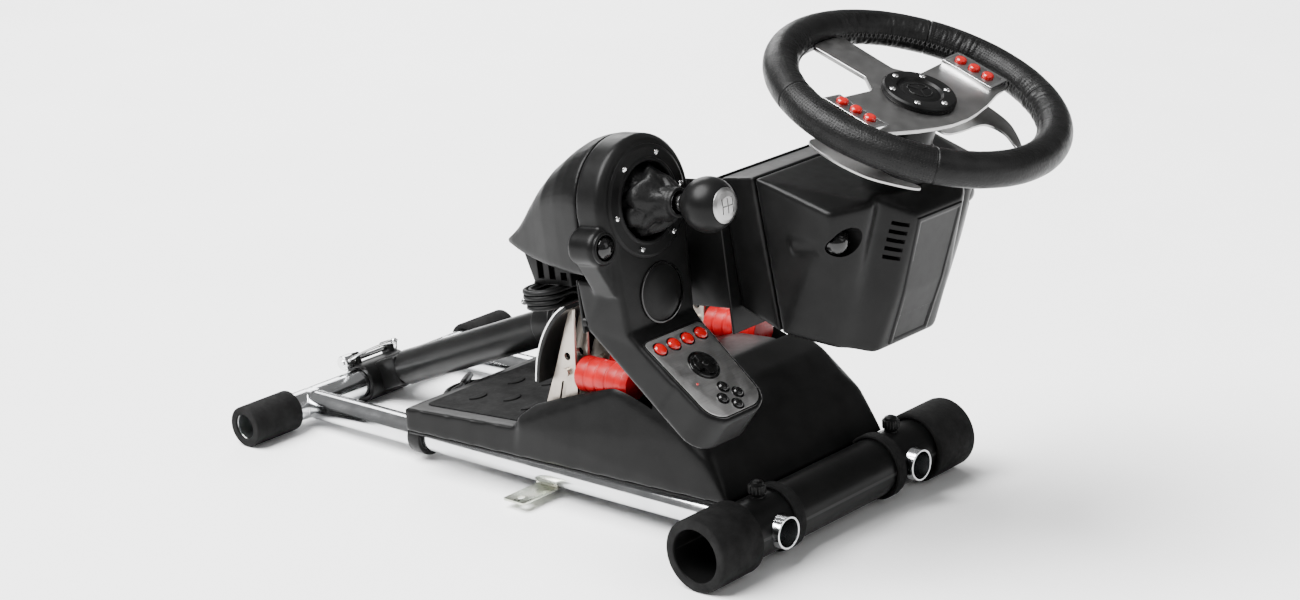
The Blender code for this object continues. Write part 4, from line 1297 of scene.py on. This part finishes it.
def make_shifter_body():
    side_view = [
        (FACE, -0.0600), (SEAM, -0.0600), (SEAM, -0.1187), (-0.2112, -0.1187), (-0.2112, -0.1640),
        (-0.1860, -0.1920), (-0.1040, -0.2715), (-0.0840, -0.2545), (-0.0780, -0.2470), (-0.0820, -0.2390),
        (-0.1500, -0.1760), (FACE, -0.1650),
    ]
    apron = plate([(x, z + 0.056) for x, z in side_view], -0.050, 0.050, 0.0030, across="Y", segments=1)
    for vertex in apron.data.vertices:
        inwards = min(1.0, max(0.0, (-0.064 - vertex.co.z) / 0.080))
        vertex.co.y *= 1.0 - 0.18 * inwards
    # The lower end is rounded, a rim's width outside the button panel.
    in_gate = shift(0, 0.190, 0.056) @ PANEL_IN_DECK
    corner = box((0.0, -0.07, -0.07), (0.09, 0.07, 0.03))
    corner = cut(corner, plate(panel_outline(0.0050), -0.08, 0.04, 0.0))
    apron = cut(apron, moved(corner, in_gate))
    head = turned(
        [(0, SEAM), (0, FACE), (0.0540, FACE), (0.0590, FACE - 0.0060), (0.0590, SEAM)], 0.0015, 96, "X",
    )
    lobe = turned(
        [(0, SEAM), (0, -0.1615), (0.0135, -0.1615), (0.0165, -0.1650), (0.0165, SEAM)], 0.0010, 64, "X",
    )
    lobe = moved(lobe, shift(0, *LOBE))
    web_outline = (
        (-0.0725, -0.030), (-0.0670, -0.042), (-0.0490, -0.075), (-0.040, -0.075), (-0.040, -0.010),
        (-0.0560, -0.0165),
    )
    web = hull([(x, y, z) for x in (SEAM, -0.1650) for y, z in web_outline])
    body = moulded(join(apron, head, lobe, web), 0.0012, 16)
    collar = turned([(0.0, -0.188), (0.0, -0.1600), (0.0140, -0.1600), (0.0155, -0.188)], 0.0012, 72, "X")
    body = join(body, moved(collar, shift(0, *LOBE)))
    pocket = rod((-0.1860, 0, 0), (-0.150, 0, 0), 0.034, sides=96)
    hole = rod((-0.1765, *LOBE), (-0.15, *LOBE), 0.0115, sides=64)
    wells = [
        moved(rod((x, y, -0.006), (x, y, 0.02), r, sides=40), in_gate) for x, y, r in panel_wells()
    ]
    body = cut(body, pocket, hole, together(*wells))
    piece(body, "shifter_housing", SHIFTER, "plastic", "carriage", "shifter_body", crease=40)

    # The trim round the gate, and its six screws.
    ring = turned(
        [
            (0.0338, -0.1700), (0.0338, -0.1590), (0.0352, -0.1572), (0.0372, -0.1572), (0.0386, -0.1584),
            (0.0474, -0.1584), (0.0500, -0.1598), (0.0500, -0.1640),
        ],
        0.0008, 128, "X",
    )
    screws = []
    for i in range(6):
        a = radians(60 * i + 22)
        at = Vector((0, 0.0428 * sin(a), 0.0428 * cos(a)))
        head = turned(
            [(0, -0.1590), (0.0025, -0.1590), (0.0025, -0.1566), (0.0017, -0.1560), (0, -0.1560)], 0.0003, 32,
            "X",
        )
        slot = box((-0.1564, -0.0016, -0.0003), (-0.1550, 0.0016, 0.0003))
        screws.append(moved(cut(head, slot), Matrix.Translation(at)))
    piece(ring, "gate_ring", SHIFTER, "plastic", "carriage")
    piece(together(*screws), "gate_screws", SHIFTER, "bright", "carriage")

    # A round badge, left plain.
    stand_up = shift(FACE + 0.0004, 0.0035, -0.0835) @ Matrix.Rotation(pi / 2, 4, "Y")
    outer, inner = ([polar(r, 2 * pi * k / 64) for k in range(64)] for r in (0.0275, 0.0258))
    rim = cut(plate(outer, -0.003, 0.0012, 0.0005), plate(inner, -0.01, 0.01, 0.0))
    piece(moved(rim, stand_up), "badge_rim", SHIFTER, "gloss", "carriage")
    badge = turned(
        [(0, -0.003), (0.0252, -0.003), (0.0252, 0.0002), (0.0180, 0.0012), (0.0090, 0.0018), (0, 0.0020)],
        0.0006, 96,
    )
    piece(moved(badge, stand_up), "badge", SHIFTER, "plastic", "carriage")

    # The back of the housing: sections from the seam to the lip, round above and flat below.
    bm = bmesh.new()
    rings = []
    for x, crown, shoulder, half, low in (
        (SEAM - 0.0006, 0.0584, 0.0000, 0.0584, -0.0560), (-0.1980, 0.0575, 0.0020, 0.0575, -0.0555),
        (-0.2090, 0.0545, 0.0030, 0.0560, -0.0550), (-0.2220, 0.0480, 0.0020, 0.0540, -0.0540),
        (-0.2420, 0.0350, -0.0010, 0.0500, -0.0520), (-0.2560, 0.0220, -0.0060, 0.0465, -0.0500),
        (-0.2670, 0.0080, -0.0120, 0.0440, -0.0480), (-0.2740, -0.0010, -0.0180, 0.0425, -0.0465),
        (-0.2850, -0.0140, -0.0260, 0.0400, -0.0440), (-0.2960, -0.0255, -0.0310, 0.0376, -0.0400),
        (-0.3040, -0.0320, -0.0340, 0.0350, -0.0380),
    ):
        line = [(-half * 0.97, low), (-half, low + 0.004)]
        for k in range(25):
            a = pi * k / 24
            line.append((-half * cos(a), shoulder + (crown - shoulder) * sin(a)))
        line += [(half, low + 0.004), (half * 0.97, low)]
        rings.append([bm.verts.new((x, y, z)) for y, z in line])
    skinned(bm, rings)
    bm.faces.new(rings[0])
    bm.faces.new(rings[-1])
    rear = moulded(as_object(bm), 0.0014, 9)
    block = hull(
        [
            (x, y, z)
            for x, z in ((-0.294, -0.038), (-0.282, -0.0755), (-0.236, -0.0755), (-0.236, -0.045))
            for y in (-0.030, 0.030)
        ]
    )
    block = soften(block, 0.0015, 3)
    grooves = [box((-0.310, y - 0.002, -0.072), (-0.2870, y + 0.002, -0.048)) for y in (-0.015, 0.0, 0.015)]
    slots = [box((x, -0.0310, -0.0700), (x + 0.0075, -0.0240, -0.0500)) for x in (-0.276, -0.262, -0.248)]
    block = cut(block, together(*grooves), together(*slots))
    foot = box((-0.250, -0.030, -0.0627), (-0.2118, 0.030, -0.050))
    piece(
        join(rear, block, foot), "shifter_back", SHIFTER, "plastic", "carriage", "shifter_rear_cover",
        crease=40,
    )

    knob = turned(
        [(0, -0.1760), (0.0100, -0.1760), (0.0105, -0.1740), (0.0105, -0.1650)]
        + dome(0.0105, -0.1650, 0.0103, 10)
        + [(0, -0.1547)],
        0.0003, 64, "X",
    )
    knob = fluted(knob, 0.0152, 0.0064, 50, -0.170, -0.150, 40)
    piece(
        moved(knob, shift(0, *LOBE)), "shifter_clamp_dome", SHIFTER, "gloss", "shifter_clamp_knob",
        "shifter_clamp_knob",
    )


def panel_wells():
    wells = [(-0.036, y, 0.0068) for y in (-0.027, -0.009, 0.009, 0.027)]
    wells.append((-0.006, 0.002, 0.0150))
    wells += [(0.0305 + x, 0.002 + y, 0.0055) for x, y in ((0, -0.010), (-0.010, 0), (0, 0.010), (0.010, 0))]
    return wells


def panel_outline(grow=0.0):
    """Straight across the top, a little narrower at the foot, with wide round corners there."""
    end, corner, foot = 0.0472 + grow, 0.0190 + grow, 0.0350 + grow
    half = [(-0.0475 - grow, 0.0384 + grow)]
    for k in range(13):
        a = pi / 2 * k / 12
        half.append((end - corner + corner * sin(a), foot - corner + corner * cos(a)))
    return half + [(x, -y) for x, y in reversed(half)]


def make_panel():
    outline = rounded(panel_outline(), 0.006)

    def holes(extra):
        return together(*[rod((x, y, -0.02), (x, y, 0.02), r + extra, sides=48) for x, y, r in panel_wells()])

    surround = plate(rounded(panel_outline(0.0016), 0.007), -0.0030, 0.0007, 0.0006)
    piece(cut(surround, holes(0.0)), "panel_surround", PANEL, "gloss", "carriage")
    metal = plate(outline, -0.0020, 0.0012, 0.0003)
    piece(cut(metal, holes(0.0004)), "panel_plate", PANEL, "brushed_panel", "carriage")
    rings = []
    for x, y, r in panel_wells():
        ring = turned(
            [(r - 0.0004, -0.004), (r - 0.0004, 0.0016), (r + 0.0008, 0.0016), (r + 0.0008, -0.004)], 0.0003,
            48,
        )
        rings.append(moved(ring, shift(x, y, 0)))
    piece(together(*rings), "panel_bezels", PANEL, "gloss", "carriage")
    lamp = turned(
        [(0, 0.0008), (0.0012, 0.0008), (0.0012, 0.0014), (0.0007, 0.0018), (0, 0.0018)], 0.0002, 24,
    )
    piece(moved(lamp, shift(0.0085, -0.0205, 0)), "panel_lamp", PANEL, "red", "carriage")

    names = [f"panel_button_red_{i + 1}" for i in range(4)] + ["direction_pad"]
    names += [f"panel_button_{where}" for where in ("near", "top", "far", "bottom")]
    for name, (x, y, r) in zip(names, panel_wells()):
        if name == "direction_pad":
            arm, reach, mid = 0.0036, 0.0112, 0.0040
            cross = [
                (-reach, -arm), (-mid, -mid), (-arm, -reach), (arm, -reach), (mid, -mid), (reach, -arm),
                (reach, arm), (mid, mid), (arm, reach), (-arm, reach), (-mid, mid), (-reach, arm),
            ]
            dish = turned(
                [
                    (0, -0.0030), (0.0138, -0.0030), (0.0138, 0.0014), (0.0124, 0.0020), (0.0060, 0.0008),
                    (0, 0.0008),
                ],
                0.0005, 72,
            )
            body = join(
                dish, plate(cross, 0.0, 0.0044, 0.0006, 0.0014),
                turned([(0, 0), (0.0030, 0), (0.0030, 0.0052), (0, 0.0056)], 0.0006, 40),
            )
            look = "gloss"
        else:
            rim = r - 0.0008
            body = turned(
                [(0, -0.0035), (rim, -0.0035), (rim, 0.0022)]
                + dome(rim, 0.0022, 0.0024, power=0.8)
                + [(0, 0.0046)],
                0.0003, 48,
            )
            look = "red" if "red" in name else "gloss"
        piece(moved(body, shift(x, y, 0)), f"cap_{name}", PANEL, look, name, name)


def gaiter_part(first_row, last_row, rows=84, around=160):
    bm = bmesh.new()
    rings = []
    for i in range(first_row, last_row + 1):
        t = i / rows
        height = -0.1800 + 0.0560 * t
        base = 0.0318 * (1 - t) ** 1.35 + 0.0118 * t + 0.0085 * sin(pi * t) ** 1.2
        if t > 0.93:
            base += 0.0012 * (t - 0.93) / 0.07
        ring = []
        for k in range(around):
            a = 2 * pi * k / around
            pleat = noise.noise(Vector((cos(a) * 1.25 + 0.3, sin(a) * 1.25, t * 2.2)))
            pleat = abs(pleat) ** 0.75 * 1.7 - 0.6
            sag = sin(t * 15 + 2.4 * noise.noise(Vector((cos(a) * 1.2, sin(a) * 1.2, 4.0))) * 2.2)
            small = noise.noise(Vector((cos(a) * 7, sin(a) * 7, t * 9)))
            swell = sin(pi * min(1.0, t * 1.05)) ** 0.7
            r = base + swell * (0.0046 * pleat + 0.0022 * sag + 0.0005 * small)
            r = min(r, 0.0328)
            ring.append(bm.verts.new((height, r * cos(a), r * sin(a))))
        rings.append(ring)
    skinned(bm, rings)
    return thickened(as_object(bm), 0.0009, 0.0)


def make_boot():
    """The leather gaiter: its hem stays in the gate, its folds gather under the knob, and its cuff rides with
    the lever.
    """
    lower = piece(gaiter_part(0, 45), "lever_gaiter_hem", SHIFTER, "leather", None, crease=70)
    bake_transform(lower)
    upper = piece(gaiter_part(45, 84), "lever_gaiter", SHIFTER, "leather", None, "shift_boot", crease=70)
    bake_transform(upper)
    cuff = turned(
        [(0.0100, -0.1265), (0.0100, -0.1215), (0.0132, -0.1215), (0.0138, -0.1265)], 0.0012, 64, "X",
    )
    piece(cuff, "gaiter_cuff", SHIFTER, "leather", "shift_lever")


def make_gear_knob():
    centre, radius = -0.089, 0.0243
    profile = [(0.0054, -0.1155), (0.0054, -0.0900), (0.0, -0.0900), (0.0, centre + 0.0175)]
    profile += [(0.0158, centre + 0.0175), (0.0158, centre + 0.0184)]
    for d in range(48, -56, -6):
        a = radians(d)
        profile.append((radius * cos(a), centre + radius * sin(a)))
    profile += [(0.0105, -0.1120), (0.0095, -0.1155)]
    knob = turned(profile, 0.0007, 128, "X")
    piece(knob, "gear_knob", SHIFTER, "plastic", "shift_knob", "shift_knob")
    disc = turned(
        [
            (0, centre + 0.0174), (0.0156, centre + 0.0174), (0.0156, centre + 0.0188),
            (0.0125, centre + 0.0206), (0.0080, centre + 0.0216), (0, centre + 0.0220),
        ],
        0.0004, 96, "X",
    )
    grooves = [
        box((centre + 0.0203, y - 0.0005, -0.0068), (centre + 0.03, y + 0.0005, 0.0068))
        for y in (-0.0066, 0, 0.0066)
    ]
    grooves.append(box((centre + 0.0203, -0.0070, -0.0005), (centre + 0.03, 0.0070, 0.0005)))
    piece(cut(disc, *grooves), "gear_knob_disc", SHIFTER, "brushed_across", "shift_knob")
    piece(
        turned([(0.0050, -0.1235), (0.0050, -0.1150), (0.0088, -0.1150), (0.0078, -0.1235)], 0.0008, 64, "X"),
        "gear_knob_collar", SHIFTER, "bright", "shift_lever",
    )


make_shifter_body()
make_panel()
make_boot()
make_gear_knob()

# ---------------------------------------------------------------- pedals


def make_pedal_unit():
    low = RAIL_R + 0.0003
    tray = hull(both_sides([(x, y, z) for x, y in ((0.192, 0.140), (0.5880, 0.116)) for z in (low, 0.0185)]))
    tray = soften(tray, 0.0010, 2)
    piece(tray, "pedal_base_tray", FLOOR, "plastic", "stand", "pedal_tray")

    floor = 0.0188
    heel = [(0.190, 0.142, floor), (0.190, 0.142, 0.043), (0.345, 0.133, floor), (0.345, 0.133, 0.0495)]
    hood = [
        (0.335, 0.1335, floor), (0.592, 0.1180, floor), (0.335, 0.1335, 0.0490), (0.435, 0.1280, 0.0690),
        (0.511, 0.1230, 0.0730), (0.543, 0.1210, 0.0700), (0.570, 0.1190, 0.0510), (0.345, 0.1240, 0.0590),
        (0.452, 0.1220, 0.1010), (0.500, 0.1150, 0.1040), (0.535, 0.1090, 0.0920), (0.560, 0.1060, 0.0700),
    ]
    ground = both_sides([p for p in hood if p[2] == floor])
    hump = pebble(both_sides([p for p in hood if p[2] > floor]), 0.0120, ground)
    body = moulded(join(hull(both_sides(heel)), hump), 0.0019, 14)
    slots = []
    for middle, _ in PEDALS.values():
        near = 0.0195 if middle < -0.09 else 0.0238
        slots.append(box((0.338, middle - near, 0.0200), (0.502, middle + 0.0238, 0.12)))
    body = cut(body, together(*slots))
    piece(body, "pedal_housing", FLOOR, "plastic", "stand", "pedal_cover", crease=40)

    # The heel pad: an inset sheet with raised crescents.
    slope = (0.0495 - 0.043) / 0.155
    pad = plate(
        [(0.203, -0.124), (0.332, -0.117), (0.332, 0.117), (0.203, 0.124)], -0.0012, 0.0010, 0.0006, 0.008,
    )
    bumps = [pad]
    for i in range(3):
        for j in range(4):
            x, y = 0.232 + 0.036 * i, -0.082 + 0.055 * j + (0.012 if i % 2 else 0.0)
            crescent = []
            for k in range(13):
                a = radians(-70 + 140 * k / 12)
                crescent.append((0.0110 * cos(a), 0.0130 * sin(a)))
            for k in range(11):
                a = radians(58 - 116 * k / 10)
                crescent.append((0.0050 + 0.0012 * cos(a) - 0.0040, 0.0105 * sin(a)))
            bump = plate(crescent, 0.0, 0.0026, 0.0009, segments=3)
            bumps.append(moved(bump, shift(x, y, 0)))
    pad = together(*bumps)
    for vertex in pad.data.vertices:
        vertex.co.z += 0.0430 + (vertex.co.x - 0.190) * slope
    piece(pad, "heel_pad", FLOOR, "rubber", "stand")


SPRING_Z = 0.106


def make_pedals():
    side_view = [
        (0.364, 0.0345), (0.379, 0.0345), (0.387, 0.0430), (0.395, 0.0600), (0.399, 0.0900),
        (0.398, 0.1120), (0.399, 0.1500), (0.4000, 0.1735), (0.394, 0.1705), (0.387, 0.1520),
        (0.372, 0.1100), (0.353, 0.0620), (0.353, 0.0420),
    ]
    outer = [(0.356, 0.095), (0.360, 0.120), (0.370, 0.145), (0.385, 0.166), (0.4005, 0.179)]
    inner = [(0.4025, 0.1755), (0.388, 0.1635), (0.3735, 0.1430), (0.3635, 0.119), (0.3595, 0.0945)]
    fine_outer = [(p.x, p.y) for p in curve_through([(*p, 0) for p in outer], 6)]
    fine_inner = [(p.x, p.y) for p in curve_through([(*p, 0) for p in inner], 6)]
    for name, (middle, half) in PEDALS.items():
        body = f"{name}_pedal"
        arms = []
        for s in (-1, 1):
            centre = middle + s * 0.009
            arm = plate(side_view, centre - 0.0015, centre + 0.0015, 0.0006, 0.006, across="Y")
            slot = [(0.3705, 0.064), (0.3770, 0.062), (0.3860, 0.096), (0.3795, 0.098)]
            window = plate(slot, middle - 0.03, middle + 0.03, 0.0, 0.0035, across="Y")
            eye = rod((0.3885, middle - 0.03, 0.1235), (0.3885, middle + 0.03, 0.1235), 0.0040, sides=32)
            arms.append(cut(arm, window, eye))
        axle = rod((0.372, middle - 0.0228, 0.040), (0.372, middle + 0.0228, 0.040), 0.0060)
        pin = rod((0.388, middle - 0.0150, 0.108), (0.388, middle + 0.0150, 0.108), 0.0040)
        piece(join(arms[0], arms[1], axle, pin), f"{name}_arms", FLOOR, "cast", body, body)
        face = plate(
            fine_outer + fine_inner, middle - half - 0.001, middle + half + 0.001, 0.0006, 0.0, across="Y",
        )
        piece(face, f"{name}_face", FLOOR, "plastic", body)
        lifted = [(x - 0.0018 * 0.85, z + 0.0018 * 0.5) for x, z in fine_outer]
        pad = plate(
            lifted + list(reversed(fine_outer)), middle - half - 0.0012, middle + half + 0.0012, 0.0004, 0.0,
            across="Y",
        )
        piece(pad, f"{name}_sheet", FLOOR, "bright", body)
        studs = []
        for row in range(4):
            at = lifted[4 + 5 * row]
            for column in (-1, 0, 1):
                y = middle + column * half * 0.55
                base = Vector((at[0], y, at[1]))
                studs.append(rod(base, base + Vector((-0.0026, 0, 0.0014)), 0.0030, 0.0026, 24))
        piece(together(*studs), f"{name}_grip", FLOOR, "rubber", body)

        ribs = [(0.0, 0.398), (0.0120, 0.398)]
        x = 0.4015
        while x < 0.4440:
            ribs += [(0.0168, x), (0.0175, x + 0.0012), (0.0175, x + 0.0108), (0.0168, x + 0.0120)]
            x += 0.0132
        ribs += [(0.0172, 0.4480), (0.0175, 0.4600), (0.0150, 0.466), (0.0, 0.466)]
        can = turned(ribs, 0.0006, 72, "X")
        moved(can, shift(0, middle, SPRING_Z))
        node = f"{name}_spring_housing"
        piece(can, f"{name}_spring_can", FLOOR, "can", f"{name}_spring", node)
        lug = turned([(0, 0.3925), (0.0070, 0.3925), (0.0085, 0.4005), (0, 0.4005)], 0.0008, 48, "X")
        moved(lug, shift(0, middle, SPRING_Z))
        piece(lug, f"{name}_spring_lug", FLOOR, "cast", f"{name}_spring")


make_pedal_unit()
make_pedals()

# ---------------------------------------------------------------- what stays as CAD, and the studio


def dress_cad():
    """Materials for the nodes that no visual piece replaces."""
    looks = {"shift_yoke": "coat", "motor_pinion_right": "nylon", "motor_pinion_left": "nylon"}
    for name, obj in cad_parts.items():
        for material_slot in obj.material_slots:
            material_slot.material = LOOKS[looks.get(name, "chrome")].material


def make_studio():
    bm = bmesh.new()
    bmesh.ops.create_grid(bm, x_segments=1, y_segments=1, size=24.0)
    floor = as_object(bm, recalculate=False)
    floor.name = "studio_floor"
    look = Look("studio_floor", "", grey(0.93), grey(0.95), (0.55, 0.65), blotch=3)
    look.relief(look.texture("NOISE", 40, detail=3), 0.00005)
    floor.data.materials.append(look.material)
    floor.location.z = -0.0004

    world = bpy.data.worlds.new("studio")
    world.use_nodes = True
    shade = world.node_tree.nodes["Background"]
    shade.inputs["Color"].default_value = (1.0, 1.0, 1.0, 1.0)
    shade.inputs["Strength"].default_value = 0.24
    bpy.context.scene.world = world

    sun = bpy.data.lights.new("daylight", "SUN")
    sun.energy = 13.0
    sun.angle = radians(50)
    lamp = bpy.data.objects.new("daylight", sun)
    lamp.rotation_euler = (radians(24), radians(-16), 0.0)
    bpy.context.scene.collection.objects.link(lamp)

    target = Vector((0.05, 0.0, 0.2))
    for name, place, size, power in (
        ("key", (-0.6, -2.2, 2.6), 1.6, 60.0), ("fill", (2.6, 0.6, 1.8), 1.8, 20.0),
        ("rear", (-2.2, 1.6, 1.6), 1.4, 40.0),
    ):
        data = bpy.data.lights.new(name, "AREA")
        data.shape = "SQUARE"
        data.size = size
        data.energy = power
        light = bpy.data.objects.new(name, data)
        bpy.context.scene.collection.objects.link(light)
        light.location = place
        light.rotation_euler = (target - Vector(place)).to_track_quat("-Z", "Y").to_euler()


dress_cad()
make_studio()
